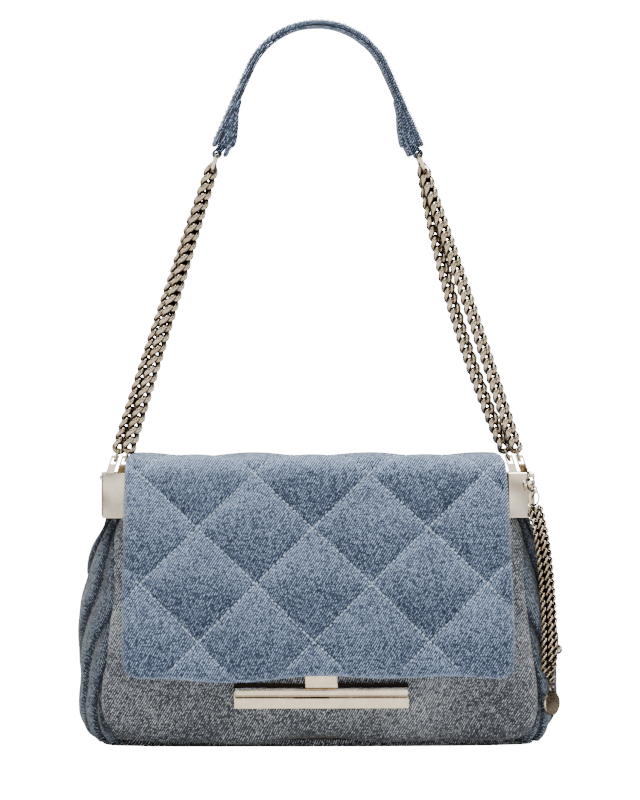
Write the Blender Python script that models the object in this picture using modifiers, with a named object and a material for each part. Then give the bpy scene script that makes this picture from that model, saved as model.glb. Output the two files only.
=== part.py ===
"""A quilted denim shoulder bag with a flap, paired curb chains, a denim shoulder
pad and a bag charm. Metres, +Z up, front towards -Y, origin at the centre of the base."""

import math

import bmesh
import bpy
from mathutils import Matrix, Vector

# Body of the bag, outside sizes
BODY_WIDTH = 0.267
BODY_DEPTH = 0.088
BODY_HEIGHT = 0.150
PADDING = 0.005
GAP = 0.0004
SOFT_GAP = 0.0025
SECTION_POWER = 3.6
# height, depth, side width and panel width, as shares of the body and of its own side width
BODY_SHARES = (
    (0.031, 0.943, 0.944, 0.930),
    (0.107, 0.993, 0.989, 0.925),
    (0.227, 1.000, 1.000, 0.920),
    (0.340, 0.977, 1.000, 0.900),
    (0.460, 0.923, 0.996, 0.885),
    (0.569, 0.848, 0.972, 0.890),
    (0.692, 0.723, 0.939, 0.925),
)
SHOULDER_SHARES = (0.540, 0.880, 0.965)
# the neck between the caps: height from the caps' feet to the mouth, then as above
NECK_SHARES = (
    (0.010, 0.520, 0.880, 0.880),
    (0.496, 0.415, 0.880, 0.880),
    (1.000, 0.307, 0.880, 0.880),
)
WALL_COLUMNS = 12
GUSSET_COLUMNS = 8
GUSSET_FOLD = 0.006

# Quilting of the walls and the flap: diamonds, a place where two stitch lines cross, and
# the grid steps across a diamond
DIAMOND_WIDTH = 0.0640
DIAMOND_HEIGHT = 0.0645
CROSSING_X = -0.0025
CROSSING_Z = 0.0586
QUILT_DEPTH = 0.0032
QUILT_FLATNESS = 0.5
QUILT_STEPS = 4
QUILT_MARGIN = 0.0030
QUILT_FADE = 0.0120

# Base, lining and pocket
BASE_THICKNESS = 0.0042
BASE_EDGE = 0.0012
BOARD_THICKNESS = 0.0018
LINING_THICKNESS = 0.0008
LINING_DROP = 0.001
POCKET_THICKNESS = 0.0010
POCKET_TOP_SHARE = 0.80
POCKET_BOTTOM_SHARE = 0.34
POCKET_WIDTH_SHARE = 0.45

# Metal end caps at the top corners, and the pins that carry the strap
CAP_FROM_PANEL = 0.0022
CAP_WIDTH = 0.0148
CAP_HEIGHT = 0.0250
CAP_TOP_DEPTH = 0.0250
CAP_BOTTOM_DEPTH = 0.0420
CAP_WALL = 0.0012
CAP_FLOOR = 0.0030
CAP_EDGE = 0.0005
CAP_SEAT = 0.0012
CAP_CLEARANCE = 0.0025
PIN_RADIUS = 0.0010
PIN_BELOW_CAP_TOP = 0.0025
PIN_HEAD_RADIUS = 0.0017
PIN_HEAD_LENGTH = 0.0008
PIN_SIDES = 12

# Strap connectors, side by side on each pin
CONNECTOR_WIDTH = 0.0046
CONNECTOR_PITCH = 0.0062
CONNECTOR_OUTSET = 0.0048
CONNECTOR_THICKNESS = 0.0016
CONNECTOR_HEIGHT = 0.0120
CONNECTOR_BAR = 0.0015
CONNECTOR_SLOT_WIDTH = 0.0026
CONNECTOR_SLOT_HEIGHT = 0.0034
KNUCKLE_RADIUS = 0.0022
RUNNING_GAP = 0.0003

# Rings, chains and the shoulder pad
RING_WIRE = 0.00125
RING_HEIGHT = 0.0098
RING_SPAN = 0.0220
RING_CORNER = 0.0026
RING_CORNER_STEPS = 3
RING_FOOT_X = 0.0590
RING_ABOVE_BAG = 0.1693
RING_LEAN = 0.0030
CHAIN_WIRE = 0.0011
CHAIN_WIDTH = 0.0080
CHAIN_PITCH = 0.0068
CHAIN_FLAT_SHARE = 0.72
CHAIN_TWIST_SHARE = 0.90
CHAIN_TOP_OFFSET = 0.0020
CHAIN_FOOT_OFFSET = 0.0019
CHAIN_SLACK = 0.0055
CHAIN_TOP_PLAY = 0.0011
CHAIN_POINTS = 8
JUMP_WIRE = 0.0008
JUMP_WIDTH = 0.0040
JUMP_OVERLAP = 0.0003
JUMP_SQUARENESS = 0.6

PAD_CROWN_RADIUS = 0.0435
PAD_THICKNESS = 0.0048
PAD_WIDTH = 0.0250
PAD_ABOVE_BAG = 0.2533
PAD_SPLAY = math.radians(23.9)
PAD_END_ABOVE_BAG = 0.1830
PAD_END_THICKNESS = 0.0120
PAD_OUTER_PRONG = 0.0032
PAD_FOLD_LENGTH = 0.0180
PAD_FOLD_TAPER = 0.0060
PAD_EDGE = 0.0008
PAD_ARC_STEPS = 10
SLOT_DEPTH = 0.0130
TAB_THICKNESS = 0.0046
TAB_WIDTH = 0.0160
TAB_WALL = 0.0012
TAB_SIDES = 14

# Flap: the part over the top and the front that swings
FLAP_THICKNESS = 0.0060
FOLD_Y = -0.0150
FOLD_RISE = 0.0070
FOLD_GAP = 0.0042
FACING_COLUMNS = 12
FLAP_CROWN = 0.0024
FLAP_OVER_CAPS = 0.0037
# width shares of the flap at its hem, with heights over it, beside the body's upper rows,
# and up to the fold, with shares of that height
HEM_SHARES = ((0.0, 0.900), (0.016, 0.955), (0.055, 0.988))
HANGING_SHARES = (1.000, 0.990, 0.983, 0.976, 0.972)
LEANING_SHARES = ((0.29, 0.962), (0.58, 0.951), (0.82, 0.935), (1.0, 0.903))
TOP_RISE = 0.0010
TAIL_DROP = 0.0250
TAIL_WIDTH_SHARE = 0.94
FACING_THICKNESS = 0.0007
FACING_INSET = 0.0040

# Clasp
BAR_RADIUS = 0.00295
BAR_LENGTH = 0.0957
BAR_SIDES = 16
BAR_EDGE = 0.0004
RAIL_HEIGHT = 0.0053
RAIL_DEPTH = 0.0056
RAIL_FOOT_Z = 0.0223
PLATE_HEIGHT = 0.0134
PLATE_THICKNESS = 0.0016
CLASP_EDGE = 0.0003
TAB_PLATE_WIDTH = 0.0176
TAB_PLATE_HEIGHT = 0.0170
TAB_PLATE_THICKNESS = 0.0014
TAB_LIP_HEIGHT = 0.0018
BACKING_THICKNESS = 0.0010
BACKING_HEIGHT = 0.0100
MAGNET_RADIUS = 0.0045
MAGNET_THICKNESS = 0.0020
MAGNET_SPACING_SHARE = 0.627
MAGNET_SIDES = 16

# Charm at the right cap
EYE_FROM_CAP_EDGE = 0.0034
EYE_BELOW_TOP = 0.0036
EYE_RADIUS = 0.0013
HOOK_RADIUS = 0.0026
HOOK_WIRE = 0.0008
HOOK_STEPS = 12
CLAW_LENGTH = 0.0080
CLAW_WIDTH = 0.0052
CLAW_THICKNESS = 0.0030
CLAW_LEAN = math.radians(38)
CLAW_SIDE_LEAN = math.radians(20)
CLAW_TURN = math.radians(65)
LUG_RADIUS = 0.0020
LUG_WIRE = 0.0006
LEVER_LENGTH = 0.0050
LEVER_WIDTH = 0.0016
LEVER_THICKNESS = 0.0010
LEVER_SIDES = 12
CHARM_RING_RADIUS = 0.0042
CHARM_RING_WIRE = 0.0007
CHARM_RING_TURN = math.radians(48)
# height, side and front places of the tassel, as shares of the body's height and halves
TASSEL_SHARES = (
    (0.833, 0.906, 0.541),
    (0.693, 0.931, 0.550),
    (0.569, 0.944, 0.568),
    (0.460, 0.951, 0.625),
    (0.340, 0.951, 0.664),
    (0.227, 0.948, 0.686),
    (0.100, 0.948, 0.690),
)
STRAND_RADIUS = 0.0015
STRAND_PITCH = 0.0036
STRAND_ROW = 0.0032
STRAND_STEPS = 11
STRAND_WAVE = 0.0002
STRAND_GATHER_SHARE = 0.80
STRAND_FOOT_Z = 0.0345
STRAND_STEP_Z = 0.0030
BALL_RADIUS = 0.0029
BALL_NECK = 0.0007
BALL_HANG_Z = 0.0620
BALL_DROP = 0.0090
DISC_RADIUS = 0.0070
DISC_THICKNESS = 0.0018
DISC_RIM = 0.0008
DISC_SIDES = 24
LINK_RADIUS = 0.0016
LINK_WIRE = 0.0005

OVERRUN = 0.0010

# Heights and widths that follow from the sizes above
# The end ring reaches from under the connector's bar to inside the first link
JUMP_BELOW = CONNECTOR_BAR / 2 + 2 * GAP + JUMP_WIRE
JUMP_ABOVE = CONNECTOR_BAR / 2 + GAP + 2 * CHAIN_WIRE + JUMP_WIRE - JUMP_OVERLAP
JUMP_LENGTH = JUMP_BELOW + JUMP_ABOVE
CAP_TOP_Z = BODY_HEIGHT + CAP_SEAT
CAP_FOOT_Z = CAP_TOP_Z - CAP_HEIGHT
PIN_Z = CAP_TOP_Z - PIN_BELOW_CAP_TOP
CAP_INNER = BODY_WIDTH / 2 * NECK_SHARES[0][2] * NECK_SHARES[0][3] + CAP_FROM_PANEL
CAP_OUTER = CAP_INNER + CAP_WIDTH
BODY_ROWS = BODY_SHARES + (((CAP_FOOT_Z - CAP_CLEARANCE) / BODY_HEIGHT, *SHOULDER_SHARES),)
NECK_ROWS = tuple(
    ((CAP_FOOT_Z + (BODY_HEIGHT - CAP_FOOT_Z) * rise) / BODY_HEIGHT, *shares)
    for rise, *shares in NECK_SHARES
)
RING_FOOT_Z = BODY_HEIGHT + RING_ABOVE_BAG
PAD_TOP = BODY_HEIGHT + PAD_ABOVE_BAG
PAD_END_Z = BODY_HEIGHT + PAD_END_ABOVE_BAG
FOLD_Z = BODY_HEIGHT + FOLD_RISE
FLAP_WIDTH = 2 * (CAP_INNER + FLAP_OVER_CAPS)
MAGNET_SPACING = BAR_LENGTH * MAGNET_SPACING_SHARE

DENIM_MID = (0.20, 0.27, 0.37)
DENIM_GREY = (0.33, 0.36, 0.40)
DENIM_DARK = (0.20, 0.25, 0.32)
LINING_COLOUR = (0.36, 0.33, 0.29)
CHAMPAGNE = (0.80, 0.74, 0.64)


def clear_scene():
    for old in list(bpy.data.objects):
        bpy.data.objects.remove(old, do_unlink=True)


def collection(name):
    made = bpy.data.collections.new(name)
    bpy.context.scene.collection.children.link(made)
    return made


def surface_material(name, colour, roughness, metallic=0.0):
    """A plain Principled finish for one piece."""
    made = bpy.data.materials.new(name)
    made.use_nodes = True
    shader = made.node_tree.nodes["Principled BSDF"]
    shader.inputs["Base Color"].default_value = (*colour, 1.0)
    shader.inputs["Roughness"].default_value = roughness
    shader.inputs["Metallic"].default_value = metallic
    return made


def denim(obj, colour):
    obj.data.materials.append(surface_material(obj.name + "_denim", colour, 0.9))
    return obj


def metal(obj):
    obj.data.materials.append(surface_material(obj.name + "_metal", CHAMPAGNE, 0.18, 1.0))
    return obj


def put(obj, group):
    for old in list(obj.users_collection):
        old.objects.unlink(obj)
    group.objects.link(obj)
    return obj


def mesh_object(name, shape, group, smooth=True):
    """An object from a bmesh, which is freed."""
    bmesh.ops.recalc_face_normals(shape, faces=shape.faces)
    data = bpy.data.meshes.new(name)
    shape.to_mesh(data)
    shape.free()
    if smooth:
        data.shade_smooth()
        data.set_sharp_from_angle(angle=math.radians(40))
    return put(bpy.data.objects.new(name, data), group)


def box(name, size, centre, group):
    shape = bmesh.new()
    bmesh.ops.create_cube(shape, size=1.0)
    bmesh.ops.scale(shape, vec=Vector(size), verts=shape.verts)
    bmesh.ops.translate(shape, vec=Vector(centre), verts=shape.verts)
    return mesh_object(name, shape, group, smooth=False)


def rod(name, radius, length, centre, axis, sides, group):
    """A cylinder along X, Y or Z."""
    shape = bmesh.new()
    bmesh.ops.create_cone(
        shape, cap_ends=True, segments=sides, radius1=radius, radius2=radius, depth=length
    )
    turns = {"X": Matrix.Rotation(math.pi / 2, 4, "Y"), "Z": Matrix.Identity(4)}
    turns["Y"] = Matrix.Rotation(-math.pi / 2, 4, "X")
    bmesh.ops.transform(shape, matrix=turns[axis], verts=shape.verts)
    bmesh.ops.translate(shape, vec=Vector(centre), verts=shape.verts)
    return mesh_object(name, shape, group)


def modify(obj, kind, **settings):
    made = obj.modifiers.new(kind.title(), kind)
    for key, value in settings.items():
        setattr(made, key, value)
    return made


def bevel(obj, width, segments=1):
    modify(obj, "BEVEL", width=width, segments=segments, limit_method="ANGLE")


def cut(obj, other, operation="DIFFERENCE"):
    modify(obj, "BOOLEAN", operation=operation, object=other, solver="EXACT")
    other.display_type = "WIRE"
    other.hide_render = True


def baked(obj, group):
    """A mesh object of what the modifiers or the curve make, in place of the first."""
    graph = bpy.context.evaluated_depsgraph_get()
    data = bpy.data.meshes.new_from_object(obj.evaluated_get(graph))
    shape = bmesh.new()
    shape.from_mesh(data)
    bmesh.ops.remove_doubles(shape, verts=shape.verts, dist=PADDING / 10000)
    shape.to_mesh(data)
    shape.free()
    name = obj.name
    place = obj.matrix_world.copy()
    bpy.data.objects.remove(obj, do_unlink=True)
    made = bpy.data.objects.new(name, data)
    made.matrix_world = place
    data.shade_smooth()
    data.set_sharp_from_angle(angle=math.radians(40))
    return put(made, group)


def wire(name, points, radius, group, closed=False, resolution=0):
    """A round wire through the points, as a curve with filled caps."""
    data = bpy.data.curves.new(name, "CURVE")
    data.dimensions = "3D"
    data.bevel_depth = radius
    data.bevel_resolution = resolution
    data.use_fill_caps = not closed
    line = data.splines.new("POLY")
    line.points.add(len(points) - 1)
    for spot, point in zip(line.points, points):
        spot.co = (*point, 1.0)
    line.use_cyclic_u = closed
    return put(bpy.data.objects.new(name, data), group)


def plate(name, loops, thickness, group):
    """A flat outline in X and Z, given as loops of points, with its thickness along Y."""
    data = bpy.data.curves.new(name, "CURVE")
    data.dimensions = "2D"
    data.fill_mode = "BOTH"
    data.extrude = thickness / 2
    for points in loops:
        line = data.splines.new("POLY")
        line.points.add(len(points) - 1)
        for spot, (x, z) in zip(line.points, points):
            spot.co = (x, z, 0, 1.0)
        line.use_cyclic_u = True
    made = put(bpy.data.objects.new(name, data), group)
    made.rotation_euler.x = math.pi / 2
    bpy.context.view_layer.update()
    return baked(made, group)


def sheet(name, columns, rows, place, group):
    """An open surface on a grid: place(u, row) gives each point, u from -1 to 1."""
    shape = bmesh.new()
    bmesh.ops.create_grid(shape, x_segments=columns, y_segments=rows - 1, size=1.0)
    for vert in shape.verts:
        row = round((vert.co.y + 1) / 2 * (rows - 1))
        vert.co = place(vert.co.x, row)
    data = bpy.data.meshes.new(name)
    shape.to_mesh(data)
    shape.free()
    data.shade_smooth()
    data.set_sharp_from_angle(angle=math.radians(40))
    return put(bpy.data.objects.new(name, data), group)


def thicken(obj, thickness, towards):
    """Solidifies a sheet to the side that the vector points to."""
    middle = obj.data.polygons[len(obj.data.polygons) // 2]
    side = 1.0 if middle.normal.dot(Vector(towards)) > 0 else -1.0
    modify(obj, "SOLIDIFY", thickness=thickness, offset=side, use_even_offset=False)
    return obj


# Body

def along(shares, height):
    """The other values of a table's rows at a height, between two rows."""
    if height <= shares[0][0]:
        return shares[0][1:]
    for low, high in zip(shares, shares[1:]):
        if height <= high[0]:
            t = (height - low[0]) / (high[0] - low[0])
            return tuple(a + (b - a) * t for a, b in zip(low[1:], high[1:]))
    return shares[-1][1:]


def section_point(angle, half_width, half_depth):
    """A point of the rounded-box section at an angle from +X."""
    c, s = math.cos(angle), math.sin(angle)
    x = half_width * math.copysign(abs(c) ** (2 / SECTION_POWER), c)
    y = half_depth * math.copysign(abs(s) ** (2 / SECTION_POWER), s)
    return x, y


def body_point(angle, row, inset):
    """A point of the body's wall at a row of shares, a distance inside its outer face."""
    height, depth, width, _ = row
    x, y = section_point(angle, BODY_WIDTH / 2 * width - inset, BODY_DEPTH / 2 * depth - inset)
    return Vector((x, y, BODY_HEIGHT * height))


def seam_angle(row):
    """The angle at which the panel meets the gusset."""
    return math.acos(row[3] ** (SECTION_POWER / 2))


def panel_angle(u, row, middle):
    """The angle of a panel's column, spaced evenly in X, about -90 or 90 degrees."""
    x = u * row[3]
    lean = math.asin(math.copysign(abs(x) ** (SECTION_POWER / 2), x))
    return middle + lean if middle < 0 else middle - lean


def gusset_fold(u):
    """How far the gusset tucks in: a fold down its middle and a ridge to each side."""
    return GUSSET_FOLD * math.cos(math.pi * u) ** 2 * (1 - abs(u)) - GUSSET_FOLD / 4


def front_angle(u, row):
    return panel_angle(u, row, -math.pi / 2)


def rear_angle(u, row):
    return panel_angle(-u, row, math.pi / 2)


def quilt_start(rows):
    """The length along a profile's (y, z) rows from the crossing down to the first, below 0."""
    length = 0.0
    for low, high in zip(rows, rows[1:]):
        share = (CROSSING_Z - low[1]) / (high[1] - low[1])
        length += math.dist(low[:2], high[:2]) * min(share, 1.0)
        if share < 1:
            break
    return -length


def quilt_rows(rows, start):
    """A profile's rows as (length along it, values), with more where diamonds quarter."""
    step = DIAMOND_HEIGHT / QUILT_STEPS
    made = [(start, rows[0])]
    for low, high in zip(rows, rows[1:]):
        begin = made[-1][0]
        end = begin + math.dist(low[:2], high[:2])
        first = math.ceil((begin + QUILT_MARGIN) / step)
        last = math.floor((end - QUILT_MARGIN) / step)
        for quarter in range(first, last + 1):
            t = (quarter * step - begin) / (end - begin)
            made.append((quarter * step, tuple(a + (b - a) * t for a, b in zip(low, high))))
        made.append((end, high))
    return made


def quilt_columns(half, narrowest, widest):
    """X places across a cloth: on the diamonds' quarters, and evenly from there to its edges."""
    step = DIAMOND_WIDTH / QUILT_STEPS
    count = int((narrowest - abs(CROSSING_X) - step / 2) / step)
    inner = [CROSSING_X + step * k for k in range(-count, count + 1)]
    cells = math.ceil((widest - inner[-1]) / step)
    left = [-half + (inner[0] + half) * k / cells for k in range(cells)]
    right = [inner[-1] + (half - inner[-1]) * k / cells for k in range(1, cells + 1)]
    return left + inner + right


def quilt_fill(x, length):
    """How full the padding is: 0 on a stitch line and 1 in a diamond's middle."""
    across = (x - CROSSING_X) / DIAMOND_WIDTH
    up = length / DIAMOND_HEIGHT
    first = abs(math.sin(math.pi * (across + up)))
    second = abs(math.sin(math.pi * (across - up)))
    return (first * second) ** QUILT_FLATNESS


def quilted(name, rows, half_of, place, thickness, group, flat=None, offset=1.0):
    """A padded cloth over (length, values) rows, thinner along its stitch lines. Each cell
    is split on the diagonal that follows the quilting best."""
    halves = [half_of(values) for _, values in rows]
    shape = bmesh.new()
    grid = []
    fills = []
    for (length, values), half in zip(rows, halves):
        line = []
        for x in quilt_columns(half, min(halves), max(halves)):
            line.append((shape.verts.new(place(x, values)), x, length))
            fill = quilt_fill(x, length)
            fills.append(max(fill, flat(x, values)) if flat else fill)
        grid.append(line)
    for low, high in zip(grid, grid[1:]):
        for i in range(len(low) - 1):
            corners = (low[i], low[i + 1], high[i + 1], high[i])
            full = [quilt_fill(x, length) for _, x, length in corners]
            middle_x = sum(x for _, x, _ in corners) / len(corners)
            middle = quilt_fill(middle_x, (low[i][2] + high[i][2]) / 2)
            rising = abs((full[0] + full[2]) / 2 - middle)
            falling = abs((full[1] + full[3]) / 2 - middle)
            a, b, c, d = (corner[0] for corner in corners)
            for face in ((a, b, c), (a, c, d)) if rising <= falling else ((a, b, d), (b, c, d)):
                shape.faces.new(face)
    made = mesh_object(name, shape, group)
    weights = made.vertex_groups.new(name="fill")
    for i, fill in enumerate(fills):
        weights.add([i], 1 - QUILT_DEPTH / thickness * (1 - fill), "REPLACE")
    modify(
        made, "SOLIDIFY", thickness=thickness, offset=offset, use_even_offset=False,
        vertex_group=weights.name,
    )
    return made


def make_panel(name, middle, group, flat=None):
    """A quilted wall between the seams, from the base to the mouth."""
    profile = [
        (BODY_DEPTH / 2 * row[1], BODY_HEIGHT * row[0], *row) for row in BODY_ROWS + NECK_ROWS
    ]

    def half_of(values):
        return BODY_WIDTH / 2 * values[4] * values[5]

    def place(x, values):
        row = values[2:]
        return body_point(panel_angle(x / half_of(values), row, middle), row, PADDING)

    rows = quilt_rows(profile, quilt_start(profile))
    return quilted(name, rows, half_of, place, PADDING, group, flat)


def pressed_at(*spots):
    """How flat a quilted cloth is: 1 at profile spots where it is held, fading around them."""

    def flat(_, values):
        return 1 - min(math.dist(values[:2], spot) for spot in spots) / QUILT_FADE

    return flat


def clasp_flat(x, values):
    """How flat the front wall is pressed: 1 behind the clasp, fading around it."""
    z = values[1]
    beside = max(abs(x) - BAR_LENGTH / 2, 0.0)
    beyond = max(z - RAIL_FOOT_Z - PLATE_HEIGHT, RAIL_FOOT_Z - z, 0.0)
    return 1 - math.hypot(beside, beyond) / QUILT_FADE


def make_gusset(name, side, group):
    """A side wall with its inward fold, from the base to the cap."""
    rows = BODY_ROWS

    def place(u, row):
        seam = seam_angle(rows[row]) - GAP / (BODY_DEPTH / 2) * 2
        point = body_point(u * seam, rows[row], PADDING)
        rise = row / (len(rows) - 1)
        tuck = max(gusset_fold(u), 0) * rise
        point.x = (point.x - tuck) * side
        return point

    return thicken(sheet(name, GUSSET_COLUMNS, len(rows), place, group), PADDING, (side, 0, 0))


def ring_of_angles(row):
    """The angles round the whole body at a row, the same as the walls use."""
    seam = seam_angle(row)
    front = [front_angle(2 * i / WALL_COLUMNS - 1, row) for i in range(WALL_COLUMNS)]
    right = [seam * (2 * i / GUSSET_COLUMNS - 1) for i in range(GUSSET_COLUMNS)]
    return front + right + [a + math.pi for a in front] + [a + math.pi for a in right]


def base_outline(inset):
    """The base's rounded outline just inside the walls."""
    row = BODY_ROWS[0]
    return [body_point(a, row, PADDING + inset) for a in ring_of_angles(row)]


def slab(name, outline, low, thickness, group):
    """A flat sheet of the given outline, standing on a height."""
    shape = bmesh.new()
    verts = [shape.verts.new((p.x, p.y, low)) for p in outline]
    face = shape.faces.new(verts)
    made = bmesh.ops.extrude_face_region(shape, geom=[face])
    lifted = [v for v in made["geom"] if isinstance(v, bmesh.types.BMVert)]
    bmesh.ops.translate(shape, vec=(0, 0, thickness), verts=lifted)
    return mesh_object(name, shape, group, smooth=False)


def make_lining(group):
    """An open tub that follows the walls from the board to just under the mouth."""
    inset = PADDING + GAP
    low = BASE_THICKNESS + BOARD_THICKNESS + 3 * GAP
    heights = [low / BODY_HEIGHT] + [row[0] for row in BODY_ROWS[1:]]
    rows = [(h, *along(BODY_ROWS, h)) for h in heights]
    rows[-1] = (rows[-1][0] - 2 * CAP_EDGE / BODY_HEIGHT, *rows[-1][1:])
    neck = [(h, d, (CAP_INNER - GAP) / (BODY_WIDTH / 2), p) for h, d, _, p in NECK_ROWS]
    neck[-1] = (1.0 - LINING_DROP / BODY_HEIGHT, *neck[-1][1:])
    shape = bmesh.new()
    rings = []
    for row in rows + neck:
        angles = ring_of_angles(row)
        tucked = row in rows
        ring = []
        for i, angle in enumerate(angles):
            point = body_point(angle, row, inset)
            if tucked:
                tuck = GUSSET_FOLD * row[0] * abs(math.cos(angle)) ** 8
                point.x -= math.copysign(tuck, point.x)
            ring.append(shape.verts.new(point))
        rings.append(ring)
    for low_ring, high_ring in zip(rings, rings[1:]):
        for i, first in enumerate(low_ring):
            j = (i + 1) % len(low_ring)
            shape.faces.new((first, low_ring[j], high_ring[j], high_ring[i]))
    shape.faces.new(list(reversed(rings[0])))
    made = mesh_object("lining", shape, group)
    modify(made, "SOLIDIFY", thickness=LINING_THICKNESS, offset=-1.0)
    return denim(made, LINING_COLOUR)


def make_inner_pocket(group):
    """A slip pocket sewn to the rear lining."""
    steps = 5
    heights = [
        POCKET_BOTTOM_SHARE + (POCKET_TOP_SHARE - POCKET_BOTTOM_SHARE) * i / (steps - 1)
        for i in range(steps)
    ]
    rows = [(h, *along(BODY_ROWS, h)) for h in heights]

    def place(u, row):
        angle = rear_angle(u * POCKET_WIDTH_SHARE, rows[row])
        return body_point(angle, rows[row], PADDING + LINING_THICKNESS + 3 * GAP)

    made = sheet("inner_pocket", WALL_COLUMNS // 2, steps, place, group)
    return denim(thicken(made, POCKET_THICKNESS, (0, -1, 0)), LINING_COLOUR)


def make_base(group):
    base = slab("base_panel", base_outline(2 * GAP), 0, BASE_THICKNESS, group)
    bevel(base, BASE_EDGE, 2)
    denim(base, DENIM_GREY)
    board = slab(
        "base_board", base_outline(4 * GAP), BASE_THICKNESS + GAP, BOARD_THICKNESS, group
    )
    denim(board, LINING_COLOUR)


# Caps and pins

def wedge(name, low, high, foot_depth, head_depth, foot, head, group, bevelled=0):
    """A block between two X places whose depth narrows from its foot to its head."""
    shape = bmesh.new()
    bmesh.ops.create_cube(shape, size=1.0)
    for vert in shape.verts:
        top = vert.co.z > 0
        depth = head_depth if top else foot_depth
        vert.co = Vector((
            high if vert.co.x > 0 else low,
            math.copysign(depth / 2, vert.co.y),
            head if top else foot,
        ))
    made = mesh_object(name, shape, group, smooth=False)
    if bevelled:
        bevel(made, bevelled, 2)
    return made


def cap_face_y(z):
    """The cap's front face at a height."""
    t = (z - CAP_FOOT_Z) / CAP_HEIGHT
    return -(CAP_BOTTOM_DEPTH + (CAP_TOP_DEPTH - CAP_BOTTOM_DEPTH) * t) / 2


def make_cap(label, side, group, cutters):
    """A polished end cap: a wedge that narrows upwards, hollow and open at the top."""
    low, high = sorted((side * CAP_INNER, side * CAP_OUTER))
    cap = wedge(
        "end_cap_" + label, low, high, CAP_BOTTOM_DEPTH, CAP_TOP_DEPTH,
        CAP_FOOT_Z, CAP_TOP_Z, group, CAP_EDGE,
    )
    slope = (CAP_BOTTOM_DEPTH - CAP_TOP_DEPTH) / CAP_HEIGHT
    foot = CAP_FOOT_Z + CAP_FLOOR
    head = CAP_TOP_Z + OVERRUN
    hollow = wedge(
        "end_cap_hollow_" + label, low + CAP_WALL, high - CAP_WALL,
        CAP_BOTTOM_DEPTH - slope * CAP_FLOOR - 2 * CAP_WALL,
        CAP_TOP_DEPTH - slope * OVERRUN - 2 * CAP_WALL, foot, head, cutters,
    )
    cut(cap, hollow)
    middle = side * (CAP_INNER + CAP_WIDTH / 2)
    bore = rod(
        "end_cap_bore_" + label, PIN_RADIUS + RUNNING_GAP, CAP_WIDTH + 2 * OVERRUN,
        (middle, 0, PIN_Z), "X", PIN_SIDES, cutters,
    )
    cut(cap, bore)
    if side > 0:
        eye_z = CAP_TOP_Z - EYE_BELOW_TOP
        eye = rod(
            "end_cap_eye", EYE_RADIUS, CAP_TOP_DEPTH / 2,
            (CAP_OUTER - EYE_FROM_CAP_EDGE, cap_face_y(eye_z), eye_z), "Y", PIN_SIDES, cutters,
        )
        cut(cap, eye)
    metal(cap)

    shaft_end = CAP_OUTER + RUNNING_GAP
    pin = rod(
        "strap_pin_" + label, PIN_RADIUS, shaft_end - CAP_INNER,
        (side * (CAP_INNER + shaft_end) / 2, 0, PIN_Z), "X", PIN_SIDES, group,
    )
    head_rod = rod(
        "strap_pin_head_" + label, PIN_HEAD_RADIUS, PIN_HEAD_LENGTH,
        (side * (shaft_end + PIN_HEAD_LENGTH / 2), 0, PIN_Z), "X", PIN_SIDES, cutters,
    )
    cut(pin, head_rod, "UNION")
    metal(pin)


# Strap: connectors, chains, rings, tabs and pad

def chain_ends(side, front):
    """Where a chain starts over its connector and where it hangs on its ring."""
    # the rear chain hangs at the left of its pair at both ends of the bag
    outer = (side > 0) == front
    pin_x = CAP_INNER + CONNECTOR_OUTSET + (CONNECTOR_PITCH if outer else 0)
    foot = Vector((side * pin_x, 0, PIN_Z))
    depth = -1 if front else 1
    top = Vector((side * RING_FOOT_X, depth * CHAIN_TOP_OFFSET, RING_FOOT_Z))
    rise = CONNECTOR_HEIGHT - CONNECTOR_BAR / 2
    lean = (top.x - foot.x) / (top.z - foot.z)
    start = Vector((foot.x + lean * rise, depth * CHAIN_FOOT_OFFSET, foot.z + rise))
    return foot, start, top, lean


def make_connector(label, side, front, group, cutters):
    """A flat plate with an eye round the pin and a slot for the chain's end ring."""
    foot, start, _, lean = chain_ends(side, front)
    half = CONNECTOR_WIDTH / 2
    top = CONNECTOR_HEIGHT
    slot_top = top - CONNECTOR_BAR
    slot_foot = slot_top - CONNECTOR_SLOT_HEIGHT

    def across(x, z):
        return (x + lean * z, z)

    outline = [across(-half, 0), across(half, 0), across(half, top), across(-half, top)]
    inner = CONNECTOR_SLOT_WIDTH / 2
    slot = [
        across(-inner, slot_foot), across(inner, slot_foot),
        across(inner, slot_top), across(-inner, slot_top),
    ]
    blade = plate("connector_" + label, [outline, slot], CONNECTOR_THICKNESS, group)
    tilt = math.atan2(start.y, start.z - foot.z)
    blade.data.transform(Matrix.Rotation(-tilt, 4, "X") @ blade.matrix_world)
    blade.matrix_world = Matrix.Identity(4)
    knuckle = rod(
        "knuckle_" + label, KNUCKLE_RADIUS, CONNECTOR_WIDTH, (0, 0, 0), "X", PIN_SIDES, cutters
    )
    cut(blade, knuckle, "UNION")
    bore = rod(
        "knuckle_bore_" + label, PIN_RADIUS + RUNNING_GAP, CONNECTOR_WIDTH + 2 * OVERRUN,
        (0, 0, 0), "X", PIN_SIDES, cutters,
    )
    cut(blade, bore)
    for piece in (blade, knuckle, bore):
        piece.location = foot
    metal(blade)


def link_points():
    """The centre line of one curb link: a twisted oval, so that links lie flat in a row."""
    half_length = (CHAIN_PITCH + 2 * CHAIN_WIRE) / 2
    half_width = CHAIN_WIDTH / 2 - CHAIN_WIRE
    twist = CHAIN_WIRE * CHAIN_TWIST_SHARE
    points = []
    for i in range(CHAIN_POINTS):
        turn = 2 * math.pi * i / CHAIN_POINTS
        points.append((
            half_width * math.sin(turn),
            twist * math.sin(2 * turn),
            half_length * math.cos(turn),
        ))
    return points


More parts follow.
